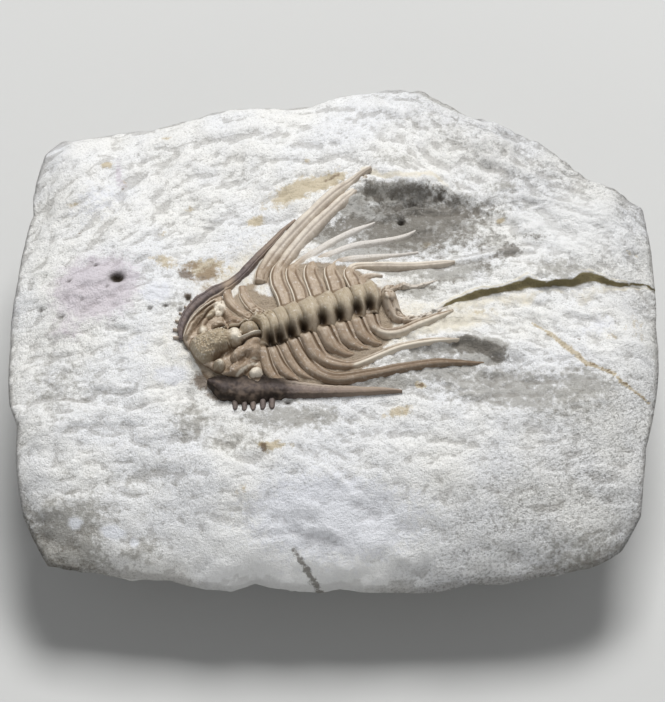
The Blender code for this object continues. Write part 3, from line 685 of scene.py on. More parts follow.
# the thorax: each segment's ring as s and half length, and its two sides as s, n, half width
segments = [
    dict(
        ring=(1.28, 0.3),
        left=[(0.75, -1.4, 0.38), (0.7, -2.7, 0.41), (0.9, -3.65, 0.38), (1.4, -4.3, 0.18)],
        right=[(0.5, 1.4, 0.3), (-0.35, 2.5, 0.33), (-0.75, 3.5, 0.35), (-0.7, 4.4, 0.32),
               (-0.35, 5.1, 0.25)]),
    dict(
        ring=(1.95, 0.33),
        left=[(1.45, -1.4, 0.36), (1.62, -2.8, 0.41), (2.1, -3.85, 0.38), (2.7, -4.55, 0.16)],
        right=[(1.4, 1.4, 0.34), (0.75, 2.5, 0.34), (0.5, 3.5, 0.34), (0.6, 4.4, 0.26)]),
    dict(
        ring=(2.72, 0.4),
        left=[(2.3, -1.4, 0.36), (2.6, -2.95, 0.37), (3.15, -4.15, 0.35), (4.1, -5.05, 0.1)],
        right=[(2.5, 1.4, 0.36), (2.1, 2.5, 0.38), (1.95, 3.5, 0.38), (2.15, 4.45, 0.4), (2.8, 5.4, 0.5),
               (4.65, 6.95, 0.56), (6.7, 8.3, 0.56), (9.8, 10.2, 0.48), (12, 11.25, 0.32),
               (13.7, 11.75, 0.13)]),
    dict(
        ring=(3.78, 0.47),
        left=[(3.2, -1.45, 0.42), (3.52, -2.9, 0.44), (4.25, -4.35, 0.46), (5.7, -5.5, 0.46),
              (8.2, -5.9, 0.42), (10.7, -6.1, 0.38), (13.9, -6.45, 0.32), (17.4, -7.2, 0.1)],
        right=[(3.5, 1.4, 0.5), (3.55, 2.4, 0.55), (3.45, 3.5, 0.55), (3.6, 4.4, 0.48), (4.2, 5.2, 0.46),
               (6.05, 6.75, 0.5), (8.2, 8.15, 0.5), (10.8, 9.75, 0.42), (13.1, 11.15, 0.16)]),
    dict(
        ring=(5.08, 0.59),
        left=[(4.35, -1.5, 0.52), (4.68, -3, 0.54), (5.45, -4, 0.46), (6.6, -4.65, 0.38),
              (7.6, -4.78, 0.31), (9.5, -4.55, 0.3), (11.2, -4.4, 0.29), (13.6, -4.65, 0.26),
              (16, -5, 0.1)],
        right=[(4.8, 1.4, 0.54), (4.85, 2.4, 0.57), (4.7, 3.5, 0.5), (4.8, 4.3, 0.42), (5.4, 4.95, 0.33),
               (8.3, 6.1, 0.27), (10.9, 6.9, 0.22), (12.7, 7.4, 0.1)]),
    dict(
        ring=(6.52, 0.63),
        left=[(5.85, -1.5, 0.58), (6.15, -2.75, 0.56), (6.85, -3.65, 0.38), (7.5, -4, 0.14)],
        right=[(6.2, 1.4, 0.58), (6.2, 2.4, 0.6), (6.15, 3.4, 0.53), (6.4, 4.2, 0.42), (7.2, 4.85, 0.3),
               (10.8, 5.5, 0.24), (14.3, 5.6, 0.19), (16, 5.9, 0.1)]),
    dict(
        ring=(7.95, 0.56),
        left=[(7.25, -1.5, 0.54), (7.45, -2.65, 0.54), (8.1, -3.5, 0.38), (8.8, -3.85, 0.14)],
        right=[(7.75, 1.3, 0.56), (7.8, 2.2, 0.58), (7.75, 3.1, 0.5), (8, 3.75, 0.4), (8.9, 4.2, 0.28),
               (12, 4, 0.2), (15.3, 3.75, 0.1)]),
    dict(
        ring=(9.2, 0.45),
        left=[(8.55, -1.4, 0.5), (8.7, -2.55, 0.5), (9.3, -3.4, 0.36), (9.9, -3.75, 0.14)],
        right=[(9.3, 1.3, 0.48), (9.25, 2, 0.5), (9.15, 2.6, 0.44), (9.35, 3.1, 0.36), (10.1, 3.3, 0.33),
               (13.3, 2.65, 0.31), (16.6, 2.05, 0.27), (17.8, 1.85, 0.12)]),
    dict(
        ring=(10.2, 0.42),
        left=[(9.7, -1.3, 0.44), (9.75, -2.3, 0.42), (10.4, -2.95, 0.36), (11.6, -3.2, 0.36),
              (13.1, -3, 0.36), (14.8, -2.7, 0.32), (16.3, -2.4, 0.1)],
        right=[(10, 1.2, 0.44), (9.95, 1.75, 0.4), (10.3, 2.1, 0.3), (11, 2.15, 0.22), (11.7, 2, 0.1)])]
segmentForm = dict(
    ringHalf=1.3, ringRise=1.05, furrow=0.75, waist=0.2, flatness=1.3, tip=0.05, ringWiden=1.62,
    pleuraWiden=(1.62, 1.5), spineWiden=1.28, pitch=0.065, sides=41)
# hollows along the left of the axis, as s, n; they are dented and painted near-black as shade
axisPits = [(1.35, -1.1), (2.1, -1.15), (3.08, -1), (4.16, -0.9), (5.8, -0.75), (7.2, -0.8), (8.7, -0.7),
            (9.75, -0.7)]
# how far along each fan spine its colour and height sink into the stone
fanSpines = {5: 1, 6: 1, 7: 1, 8: 0.25, 9: 0.8}
# how pale each long spine is, left and right, and how dark on the left
spineCream = {3: (0.1, 0.55), 4: (0.2, 0.6), 5: (0.9, 0.4), 8: (0.1, 0.7), 9: (0.7, 0.6)}
spineDark = {4: 0.6, 5: 0.1}
# how far the colour of the rock takes over beyond the bend on the right
spineStone = {3: 0.35, 4: 0.4, 8: 0.3, 9: 0.6}
# the tail's path as s, n, half width
tailShield = [(16.1, -1.85, 0.1), (14.3, -2.3, 0.25), (12.8, -2.45, 0.34), (12, -2.15, 0.5),
              (11.6, -1.5, 0.68), (11.5, -0.8, 0.74), (11.5, -0.1, 0.7), (11.7, 0.55, 0.5),
              (12.6, 0.75, 0.3), (14.3, 0.45, 0.24), (15.9, 0.6, 0.1)]
# ridges, grooves and stripes across the bars, as height or strength, place and width; the umber stripes are
# painted shade in the grooves and along the bars' edges
barRelief = dict(right=[(0.25, -0.82, 0.08), (-0.1, -0.62, 0.1), (0.05, -0.1, 0.3), (-0.12, 0.4, 0.12)],
                 left=[(-0.24, 0.3, 0.11), (0.08, -0.3, 0.4)],
                 spine=[(0.1, -0.55, 0.2), (-0.14, 0.1, 0.16)],
                 cheek=[(0.3, -0.66, 0.13), (-0.22, -0.36, 0.16), (0.14, 0.72, 0.14), (-0.14, 0.5, 0.12)],
                 tail=[(-0.08, 0, 0.2)])
barStripes = dict(creamRight=[(1.1, -0.84, 0.12)], creamLeft=[(0.3, -0.3, 0.35)],
                  creamSpine=[(0.5, -0.5, 0.5)], umberSpine=[(0.5, 0.1, 0.2)],
                  umberRight=[(0.9, -0.62, 0.12), (0.7, 0.5, 0.2)],
                  umberLeft=[(1, 0.32, 0.13), (0.7, 0.95, 0.16), (0.7, -0.95, 0.16)])
pathSplits = 12
# crumbling patch at the right of the first rings, in the animal's frame
crumbled = [(0.9, 1.3, 1.1, 0.9, 20, 1)]


def toStone(s, n):
    x, y = turned(s, n, (0.0, 0.0), -body["turn"])
    return x + body["origin"][0], y + body["origin"][1]


def fromStone(x, y):
    return turned(x, y, body["origin"], body["turn"])


def smoothPath(rows, splits):
    # Catmull-Rom curve through rows of s and n; the other columns run straight between rows
    rows = np.array(rows, float)
    padded = np.vstack([2.0 * rows[0] - rows[1], rows, 2.0 * rows[-1] - rows[-2]])
    before, start, end, after = (padded[k:len(rows) - 1 + k, None, :] for k in range(4))
    t = (np.arange(splits) / splits)[None, :, None]
    bend = 0.5 * (2.0 * start + t * (end - before)
                  + t ** 2 * (2.0 * before - 5.0 * start + 4.0 * end - after)
                  + t ** 3 * (3.0 * start - before - 3.0 * end + after))
    straight = start + t * (end - start)
    bend[..., 2:] = straight[..., 2:]
    return np.vstack([bend.reshape(-1, rows.shape[1]), rows[-1]])


def evenPath(rows, pitch):
    # the same curve with its points one pitch apart
    length = np.concatenate([[0.0], np.cumsum(np.hypot(*np.diff(rows[:, :2], axis=0).T))])
    marks = np.linspace(0.0, length[-1], max(int(length[-1] / pitch), 8))
    return np.stack([np.interp(marks, length, column) for column in rows.T], axis=-1), marks


def barShell(rows, marks, profile, sides, tint, dent=None):
    # rows of s, n, half width and height carried as an arch, its feet sunk into the stone;
    # profile gives the height across each row and tint its markings
    x, y = toStone(rows[:, 0], rows[:, 1])
    runX, runY = np.gradient(x), np.gradient(y)
    run = np.hypot(runX, runY)
    across = -np.cos(np.linspace(0.0, math.pi, sides))[None, :] * np.ones((len(rows), 1))
    half, rise = rows[:, 2:3], rows[:, 3:4]
    px = x[:, None] + across * half * (runY / run)[:, None]
    py = y[:, None] - across * half * (runX / run)[:, None]
    foot = bedHeight(px, py) - body["sink"]
    crown = bedHeight(x, y)[:, None] + body["lift"] + rise
    up, relief = profile(across)
    grain = 0.012 * flatNoise(px, py, 0.3, 2, 50.0)
    pz = foot + (crown - foot) * up + rise * relief + grain * np.minimum(rise * 2.0, 1.0)
    index = np.arange(px.size).reshape(px.shape)
    quads = [gridQuads(index[:, ::-1])]
    # close the underside between the two feet
    quads.append(np.stack([index[:-1, 0], index[:-1, -1], index[1:, -1], index[1:, 0]], axis=-1))
    s, n = fromStone(px, py)
    if dent:
        pz = np.maximum(pz - dent(s, n), foot)
    passed = marks[:, None] * np.ones_like(px)
    fields = tint(s, n, across, passed)
    fields.update(hollow=cavity(pz, 3, 0.035), run=passed, across=across * half)
    return dict(points=np.stack([px, py, pz], axis=-1).reshape(-1, 3), quads=np.concatenate(quads),
                caps=[index[0], index[-1][::-1]], fields=fields)


def withHeight(path, flatness):
    return np.column_stack([path, flatness * path[:, 2] + segmentForm["tip"]])


def shellFields(like, **given):
    keys = ("cream", "umber", "pit", "pale", "rose", "olive")
    return {key: given.get(key, 0.0) * np.ones_like(like) for key in keys}


def segmentRows(segment):
    # one bar from the left spine's tip over the ring to the right spine's tip, as rows of s, n,
    # half width, height and how far each row belongs to the ring
    f = segmentForm
    left, right = (withHeight(smoothPath(segment[side], pathSplits), f["flatness"])
                   for side in ("left", "right"))
    ringS, ringHalf = segment["ring"]
    turn = np.linspace(-1.0, 0.96, 61)
    lean = np.where(turn < 0.0, left[0, 0], right[0, 0]) - ringS
    waist = 1.0 - f["waist"] * bump(turn + 0.62, 0.22)
    arch = (1.0 - np.abs(turn) ** 2.3) ** np.where(turn < 0.0, 0.8, 0.55)
    ring = np.column_stack([ringS + lean * turn ** 2, f["ringHalf"] * turn, ringHalf * waist,
                            f["furrow"] + f["ringRise"] * arch])
    kind = np.concatenate([np.zeros(len(left)), np.ones(len(ring)), np.zeros(len(right))])
    return evenPath(np.column_stack([np.vstack([left[::-1], ring, right]), kind]), f["pitch"])


def spineShare(rows):
    # how far each row has turned backwards from a pleura into a spine, counted out from the axis
    tangent = np.arctan2(np.gradient(rows[:, 1]), np.gradient(rows[:, 0]))
    backward = ease(np.abs(np.cos(tangent)), 0.35, 0.85) * (np.abs(rows[:, 1]) > 1.6)
    right = np.maximum.accumulate(np.where(rows[:, 1] > 0.0, backward, 0.0))
    left = np.maximum.accumulate(np.where(rows[:, 1] < 0.0, backward, 0.0)[::-1])[::-1]
    return blurred(np.maximum(right, left)[:, None], 5)


def buildSegment(number, segment):
    f = segmentForm
    rows, marks = segmentRows(segment)
    ringShare, spine = blurred(rows[:, 4:5], 3), spineShare(rows)
    onRight = (rows[:, 1:2] > 0.0) * 1.0
    onLeft = 1.0 - onRight
    pleura = 1.0 - ringShare
    flank = pleura * (1.0 - spine)
    sunk = fanSpines.get(number, 0.0) * spine * onRight
    paleLeft, paleRight = spineCream.get(number, (0.2, 0.3))
    spinePale = spine * (paleLeft * onLeft + paleRight * onRight)
    stony = np.maximum(sunk, spineStone.get(number, 0.0) * spine * onRight)
    # how far each place lies past the bend on the right
    past = np.maximum(marks - marks[int(np.argmax(spine * onRight > 0.5))], 0.0)[:, None]

    widenLeft, widenRight = f["pleuraWiden"]
    widen = spine * f["spineWiden"] + (1.0 - spine) * (widenLeft * onLeft + widenRight * onRight)
    widen = ringShare * f["ringWiden"] + pleura * (widen + 0.7 * sunk)
    uneven = spine[:, 0] * lineNoise(marks, 3.2, 2, 5.0 * number)
    rows[:, 2] *= widen[:, 0] * (1.0 + 0.16 * uneven)
    rows[:, 3] *= 1.0 - 0.42 * sunk[:, 0] + 0.2 * uneven
    besideAxis = ease(rows[:, 1], -4.0, -1.5) * (rows[:, 1] < 0.0)
    rows[:, 3] *= 1.0 + 0.55 * pleura[:, 0] * besideAxis
    if number == 3:
        # broken away beside the axis on the right, where the rock shows
        rows[:, 3] -= 1.6 * ease(rows[:, 1], 1.3, 1.7) * ease(-rows[:, 1], -4.35, -3.9)

    def profile(across):
        edge = np.abs(across)
        flat = (1.0 - edge ** 6) ** 0.5
        rounded = (1.0 - edge ** 2.4) ** (0.55 + 1.2 * sunk)
        up = ringShare * (flat - 0.1 * edge ** 2) + flank * flat + pleura * spine * rounded
        sharp = bells(across, barRelief["right"]) - 0.16 * (1.0 + across)
        soft = bells(across, barRelief["left"]) - 0.1 * edge ** 4 - 0.06 * (1.0 + across)
        relief = flank * (onRight * sharp + onLeft * soft)
        return up, relief + pleura * spine * bells(across, barRelief["spine"])

    def worn(s, n):
        return spotField(s, n, crumbled) * flatNoise(s, n, 0.5, 3, 66.0)

    def dent(s, n):
        depth = [bump(ovalReach(s, n, pit, (0.36, 0.5)), 1.0) for pit in axisPits]
        return 0.8 * np.maximum.reduce(depth) + 0.3 * worn(s, n)

    def tint(s, n, across, run):
        stripes = {key: bells(across, curves) for key, curves in barStripes.items()}
        cream = flank * (onRight * stripes["creamRight"] + onLeft * stripes["creamLeft"])
        cream = cream + (pleura * spinePale * (0.6 + stripes["creamSpine"])
                         * (onRight + onLeft * ease(s, 6.4, 7.6))) - 1.2 * worn(s, n)
        # painted shade in the bars' grooves and along their edges
        umber = flank * (onRight * stripes["umberRight"] + onLeft * stripes["umberLeft"])
        umber = umber + pleura * spine * (stripes["umberSpine"] + spineDark.get(number, 0.0) * onLeft)
        # painted shade on the rings' left flanks, which face away from the light
        umber = umber + 0.95 * ringShare * ease(-n, 0.1, 1.1)
        # painted near-black shade in the pits beside the axis
        pits = [bump(ovalReach(s, n, pit, (0.4, 0.58)), 1.0) for pit in axisPits]
        return shellFields(s, cream=cream, umber=umber, pit=np.maximum.reduce(pits),
                           pale=stony * ease(past, 0.2, 2.6), rose=pleura * (1.0 - 0.75 * onRight),
                           olive=ringShare)

    shell = barShell(rows, marks, profile, f["sides"], tint, dent)
    newPiece("segment_%d_shell" % number, shell, "fossil_shell", ["thoracic_segment_%d" % number])


def buildTail():
    rows = withHeight(smoothPath(tailShield, pathSplits), segmentForm["flatness"])
    rows[:, 3] += 0.55 * bump(rows[:, 1] + 0.5, 0.7) * (rows[:, 2] > 0.4)
    rows, marks = evenPath(rows, segmentForm["pitch"])

    def profile(across):
        return (1.0 - np.abs(across) ** 3) ** 0.55, bells(across, barRelief["tail"])

    def tint(s, n, across, run):
        return shellFields(s, rose=0.3, cream=0.35, pale=0.1 + 0.6 * ease(s, 12.2, 13.8))

    def dent(s, n):
        # broken into lumps
        return 0.2 * (1.0 - terraced(2.0 * flatNoise(s, n, 1.2, 3, 44.0)))

    shell = barShell(rows, marks, profile, segmentForm["sides"], tint, dent)
    newPiece("tail_shield", shell, "fossil_shell", ["pygidium"])


# the side plates of the head: path as s, n, half width, and teeth as s, n, direction and length
cheeks = dict(
    right=dict(
        path=[(-5.36, 1.3, 0.25), (-5.05, 2.15, 0.45), (-4.3, 3.1, 0.62), (-3.15, 3.9, 0.68),
              (-1.8, 4.5, 0.66), (-0.3, 4.95, 0.5), (0.75, 5.45, 0.42), (1.9, 6.2, 0.4), (2.9, 6.85, 0.38),
              (4, 7.55, 0.33), (5.1, 8.3, 0.26), (6.4, 9, 0.12)],
        outer=-1, dark=0, toothHalf=0.13, toothHeight=0.1, toothRim=0.9, toothDepth=0,
        teeth=[(-5.65, 1.6, 155, 0.35), (-5.45, 2.25, 150, 0.4), (-5.05, 2.85, 145, 0.45),
               (-4.6, 3.4, 140, 0.45), (-4.1, 3.85, 135, 0.4), (-3.55, 4.25, 130, 0.35),
               (-2.95, 4.6, 125, 0.3)]),
    left=dict(
        path=[(-4.3, -2.55, 0.2), (-3.9, -2.85, 0.55), (-3.15, -3.35, 1.05), (-2, -3.75, 1.34),
              (-0.8, -4.1, 1.34), (0.4, -4.5, 1.05), (1.6, -4.95, 0.76), (2.8, -5.4, 0.64),
              (4.7, -6.15, 0.5), (7, -6.95, 0.36), (8.9, -7.5, 0.22), (10.3, -7.95, 0.08)],
        outer=1, dark=1, toothHalf=0.29, toothHeight=0.2, toothRim=0.1, toothDepth=0.35,
        teeth=[(-2.62, -4.6, -106, 0.85), (-1.93, -4.85, -106, 0.9), (-1.27, -5.05, -106, 0.9),
               (-0.52, -5.27, -106, 0.8), (0.18, -5.45, -106, 0.75)]),
    flatness=0.8, plateHeight=0.6, pitch=0.06)


def toothShell(s, n, degrees, length, cheek):
    # one blunt tooth lying on the stone, pointing along an angle in the animal's frame
    angle = math.radians(degrees)
    t = np.linspace(-0.35, 1.0, 14)
    half = cheek["toothHalf"] * (1.0 - 0.2 * np.maximum(t, 0.0)) * np.sqrt(1.0 - 0.8 * t ** 8)
    rows = np.column_stack([s + length * t * math.cos(angle), n + length * t * math.sin(angle),
                            half, cheek["toothHeight"] * (1.0 - 0.5 * t)])

    def profile(across):
        return (1.0 - np.abs(across) ** 3) ** 0.5, 0.0 * across

    def tint(s, n, across, run):
        return dict(rim=cheek["toothRim"] + 0.0 * s, depth=cheek["toothDepth"] + 0.0 * s, tan=0.0 * s)

    return barShell(rows, length * t, profile, 11, tint)


def buildCheek(side):
    cheek = cheeks[side]
    outer, dark = cheek["outer"], cheek["dark"]
    rows = withHeight(smoothPath(cheek["path"], pathSplits), cheeks["flatness"])
    rows[:, 3] = np.minimum(rows[:, 3], cheeks["plateHeight"])
    rows, marks = evenPath(rows, cheeks["pitch"])
    rows[:, 2] *= 1.0 + 0.14 * lineNoise(marks, 0.8, 3, dark)

    def profile(across):
        relief = bells(across * outer, barRelief["cheek"])
        return (1.0 - across ** 4) ** 0.5, relief * (1.0 - 0.6 * dark)

    def dent(s, n):
        # worn hollows, deeper on the left plate
        depth = 0.05 + 0.2 * dark * (1.0 - ease(s, 0.5, 2.5))
        return depth * np.maximum(flatNoise(s, n, 1.7, 3, 63.0), -0.2)

    def tint(s, n, across, run):
        outward = across * outer
        plate = 1.0 - ease(run, 0.38 * marks[-1], 0.52 * marks[-1])
        if side == "right":
            return dict(rim=plate * bump(outward + 0.7, 0.16),
                        tan=np.maximum(bump(s + 0.4, 0.6), 0.6 * ease(s, 0.8, 4.0)),
                        depth=0.1 + 0.5 * plate * bump(outward + 0.3, 0.3))
        # the left plate and the outer edge of its spine are near-black: partly the shell's dark brown,
        # partly painted shade where they face away from the light
        return dict(rim=(1.0 - plate) * bump(outward + 0.55, 0.3),
                    depth=np.maximum(plate * (1.0 - 0.35 * bump(outward - 0.1, 0.3)),
                                     0.8 * bump(outward - 0.8, 0.35)),
                    tan=0.25 * (1.0 - plate) + 0.45 * ease(s, 3.5, 8.0))

    parts = [barShell(rows, marks, profile, 37, tint, dent)]
    parts += [toothShell(*tooth, cheek) for tooth in cheek["teeth"]]
    newPiece("free_cheek_%s_shell" % side, joined(parts), "dark_shell", ["free_cheek_%s" % side])


# the head: lobes as s, n, half length, half width, turn, rise and tint; ridges as points, half
# width, rise and cream; crevices, paint and worn places as spots of s, n, half length, half width,
# turn and strength; the crevices are sunk and darkened with painted shade
head = dict(
    centre=(-2.3, -0.2), length=5.6, depth=7.6, rim=0.3, columns=230, rows=250,
    outline=[(-4.98, 0.1), (-5.3, 1.2), (-4.85, 2.15), (-4, 2.95), (-3, 3.6), (-2.1, 3.95), (-1.25, 4.05),
             (-1.2, 2.9), (-0.85, 1.9), (0.1, 1.15), (0.8, 0.6), (0.95, -0.3), (0.6, -1.1), (0.2, -2.4),
             (0.1, -3.1), (0, -3.6), (-0.45, -3.95), (-1, -3.75), (-1.35, -3.25), (-2.4, -2.9),
             (-3.25, -2.4), (-3.95, -1.7), (-4.68, -0.9)],
    lobes=[(-3.75, -0.25, 1.35, 1.2, 0, 1.4, "olive"), (-2.7, -0.05, 1.25, 1, 6, 1.6, "olive"),
           (-1.3, -0.15, 0.7, 0.78, 3, 1.5, "white"), (-0.05, 0.1, 0.85, 0.7, 3, 1.8, "ball"),
           (-3.15, -1.95, 0.48, 0.48, 0, 1.15, "grey"), (-1.35, -1.55, 0.9, 0.5, 28, 1.2, "rose"),
           (-1.7, -2.6, 1.9, 0.6, 20, 0.85, "rose"), (0, -1.45, 1.05, 0.95, 10, 1.35, "rose"),
           (-0.45, -3.25, 0.62, 0.42, 0, 1, "cream"), (-2.3, 1.25, 0.62, 0.34, 10, 0.95, "rose"),
           (-1.6, 2.75, 0.95, 0.6, 30, 0.75, "cream"), (-2.6, 2.4, 0.6, 0.3, 32, 0.85, "yellow"),
           (-1, 1.9, 0.7, 1.4, 8, 0.75, "rose"), (-3.6, 1.2, 0.5, 0.4, 42, 0.65, "grey"),
           (-3.3, 1.9, 0.6, 0.25, 40, 0.6, "rose"), (-3.9, -2.3, 0.9, 0.6, -30, 0.55, "rose")],
    ridges=[([(-1.1, -0.6), (-0.3, -0.53), (0.4, -0.41), (0.95, -0.25)], 0.09, 1.5, 1),
            ([(-2.95, 0.85), (-2.35, 0.82), (-1.75, 0.92)], 0.06, 0.8, 1),
            ([(-5, 1.1), (-4.3, 1.9), (-3.6, 2.4), (-2.65, 2.95), (-1.9, 3.15)], 0.2, 0.85, 0.2),
            ([(-5.2, 1.3), (-4.5, 2.15), (-3.75, 2.7), (-2.8, 3.25), (-2, 3.5)], 0.08, 1, 1),
            ([(-1.5, 0.78), (-0.75, 0.66), (-0.2, 1), (0.2, 1.05)], 0.06, 1.1, 1)],
    crevices=[(-4.3, -2.1, 1.1, 0.42, -22, 1.1), (-3, -1.3, 0.6, 0.24, 25, 1),
              (-1.9, -1.05, 0.8, 0.2, 25, 1), (0.2, -1.25, 0.5, 0.25, 12, 0.9),
              (-3.5, 2.45, 1.2, 0.22, 38, 0.9), (-2.3, 1, 0.62, 0.1, 8, 0.9),
              (-2.2, -3.35, 1.3, 0.3, 12, 1.1), (-1.1, -2.15, 0.9, 0.18, 25, 0.8),
              (-0.9, 1.1, 0.8, 0.16, -20, 0.7), (-1.7, 2.1, 0.16, 0.6, 20, 0.7),
              (-2.6, -2.4, 0.25, 0.4, 0, 0.7), (-0.85, -2.3, 0.2, 0.4, 10, 0.7),
              (-3.3, 2.2, 1.2, 0.14, 38, 0.9), (-1.2, -3.2, 0.3, 0.4, 0, 0.7)],
    paint=[(-1.2, -0.2, 0.5, 0.65, 0, 1.3), (-0.45, -3.25, 0.45, 0.32, 0, 1),
           (-0.05, -0.42, 0.9, 0.1, 9.7, 1.4), (-2.3, 0.84, 0.5, 0.07, 3, 1.2),
           (-3.1, -1.95, 0.35, 0.35, 0, 0.7), (-1.3, 2.8, 0.5, 0.4, 20, 1.1),
           (-1.75, 3.1, 0.5, 0.3, 30, 0.9), (-0.4, 1.7, 0.8, 0.25, 10, 0.6), (0.2, 2.2, 0.3, 0.2, 0, 0.8),
           (-1.6, -2.9, 1.1, 0.12, 18, 0.9), (-3.6, 1.15, 0.4, 0.3, 0, 0.8), (-2.3, 1.3, 0.4, 0.2, 10, 0.5),
           (-1.5, -1.7, 0.7, 0.3, 28, 0.35), (0.3, -1.6, 0.4, 0.8, 10, 0.35),
           (-0.4, -2.6, 0.4, 0.1, 5, 0.9), (-0.3, -2.3, 0.35, 0.08, -10, 0.8)],
    tuberclePitch=0.2, tubercleSize=0.085, tubercleRise=0.11, blend=3.5, sideSteepness=16,
    worn=[(-1.9, 2.7, 1.3, 0.7, 30, 1), (-0.3, 1.4, 1.2, 0.7, 10, 0.7)], tubercleSeed=11,
    tubercleArea=((-5.2, -1.2), (-1.9, 1.2)), lobePower=2.3, creviceDepth=0.28, roughness=0.08)
lobeTints = dict(olive=dict(olive=1.0), white=dict(olive=0.6, cream=0.5), ball=dict(olive=0.8),
                 grey=dict(olive=0.6, cream=0.2), rose=dict(rose=0.8), cream=dict(cream=0.9),
                 yellow=dict(olive=1.0, cream=0.25))


def headSurface(s, n):
    # height above the rim; the lobes run into each other and share their tints by height
    power, square = 0.0, head["lobePower"]
    tints = shellFields(s)
    for midS, midN, halfLength, halfWidth, degrees, height, tint in head["lobes"]:
        offS, offN = turned(s, n, (midS, midN), degrees)
        inside = 1.0 - np.abs(offS / halfLength) ** square - np.abs(offN / halfWidth) ** square
        weight = (height * np.maximum(inside, 0.0) ** 0.5) ** head["blend"]
        power = power + weight
        for key, amount in lobeTints[tint].items():
            tints[key] = tints[key] + weight * amount
    power = power + 0.02
    tints = {key: values / power for key, values in tints.items()}
    rise = power ** (1.0 / head["blend"])
    for points, half, height, cream in head["ridges"]:
        near = bump(lineDistance(s, n, points), half)
        rise = np.maximum(rise, rise + (height - rise) * near)
        tints["cream"] = np.maximum(tints["cream"], cream * ease(near, 0.3, 0.8))
    return rise, tints


def headGranules(s, n, rise):
    # tubercles thickly over the middle lobes
    pitch = head["tuberclePitch"]
    random = np.random.RandomState(head["tubercleSeed"])
    spots = np.meshgrid(*(np.arange(low, high, pitch) for low, high in head["tubercleArea"]))
    spots = np.stack(spots, axis=-1).reshape(-1, 2)
    spots = spots + random.uniform(-0.6, 0.6, size=spots.shape) * pitch
    sizes = random.uniform(0.45, 1.15, size=len(spots))
    granules = np.zeros_like(s)
    for (spotS, spotN), size in zip(spots, sizes):
        away = np.hypot(s - spotS, n - spotN)
        granules = np.maximum(granules, size * bump(away, head["tubercleSize"] * size))
    return granules * ease(-s, 1.4, 2.2) * ease(rise, 0.5, 0.9)


def buildHead():
    h = head
    s, n, reach = warpGrid(h["columns"], h["rows"], h["outline"], h["centre"], h["length"],
                           h["depth"], 0.0)
    x, y = toStone(s, n)
    bed = bedHeight(x, y)
    rise, fields = headSurface(s, n)
    granules = headGranules(s, n, rise)
    rough = h["roughness"] * flatNoise(x, y, 0.6, 4, 60.0) * (1.0 + 0.7 * spotField(s, n, h["worn"]))
    crevice, paint = spotField(s, n, h["crevices"]), spotField(s, n, h["paint"])
    # painted shade: flanks that face left, away from the light, are darkened, as are the crevices
    step = 0.06
    lean = (headSurface(s, n + step)[0] - headSurface(s, n - step)[0]) / (2.0 * step)
    bare = (1.0 - paint) * (1.0 - 0.7 * np.clip(fields["cream"], 0.0, 1.0))
    umber = (1.1 * crevice + 0.45 * ease(lean, 0.25, 1.6)) * bare
    surface = rise + h["tubercleRise"] * granules + rough - h["creviceDepth"] * crevice
    z = bed + body["lift"] + h["rim"] + surface * (1.0 - reach ** h["sideSteepness"])
    cream = np.maximum.reduce([fields["cream"], paint, 0.4 * granules]) + 2.0 * rough
    fields.update(umber=np.clip(umber, 0.0, 1.2), cream=cream, hollow=cavity(z, 4, 0.05), run=s,
                  across=n)
    top = np.stack([x, y, z], axis=-1)
    foot = borderLoop(np.stack([x, y, bed - body["sink"]], axis=-1))
    rimFields = {key: borderLoop(values) for key, values in fields.items()}
    shell = domeShell(top, fields, foot[None], rimFields)
    newPiece("cranidium_shell", shell, "fossil_shell", ["cranidium"])


# finishes: the stone's stains as name, tint, how far their edges spread and strength; dust, grey and umber
# also hold painted shade, and chalk painted light
stains = [("chalk_and_light", (0.88, 0.88, 0.87), 0.3, 0.75), ("dust_and_shade", (0.25, 0.235, 0.20), 0.8, 0.66),
          ("cream", (0.76, 0.71, 0.60), 0.35, 0.9), ("lilac", (0.56, 0.50, 0.55), 0.4, 0.7),
          ("bluish", (0.73, 0.745, 0.81), 0.6, 0.55), ("ochre", (0.50, 0.405, 0.245), 0.9, 0.74),
          ("olive", (0.185, 0.155, 0.08), 0.2, 1.0), ("grey", (0.20, 0.185, 0.16), 1.0, 0.85),
          ("tan", (0.30, 0.225, 0.15), 0.55, 0.85), ("umber", (0.15, 0.10, 0.06), 0.7, 0.8),
          ("crystal", (0.88, 0.9, 0.95), 0.45, 0.8)]


def newFinish(name, roughness, specular=0.5):
    material = bpy.data.materials.new(name)
    material.use_nodes = True
    shader = material.node_tree.nodes["Principled BSDF"]
    feed(material.node_tree, shader, {"Roughness": roughness, "Specular IOR Level": specular})
    return material, material.node_tree, shader


def finished(tree, shader, colour, height, distance, strength):
    relief = addNode(tree, "ShaderNodeBump", {"Height": height, "Strength": strength,
                                              "Distance": distance * mm})["Normal"]
    feed(tree, shader, {"Base Color": colour, "Normal": relief})


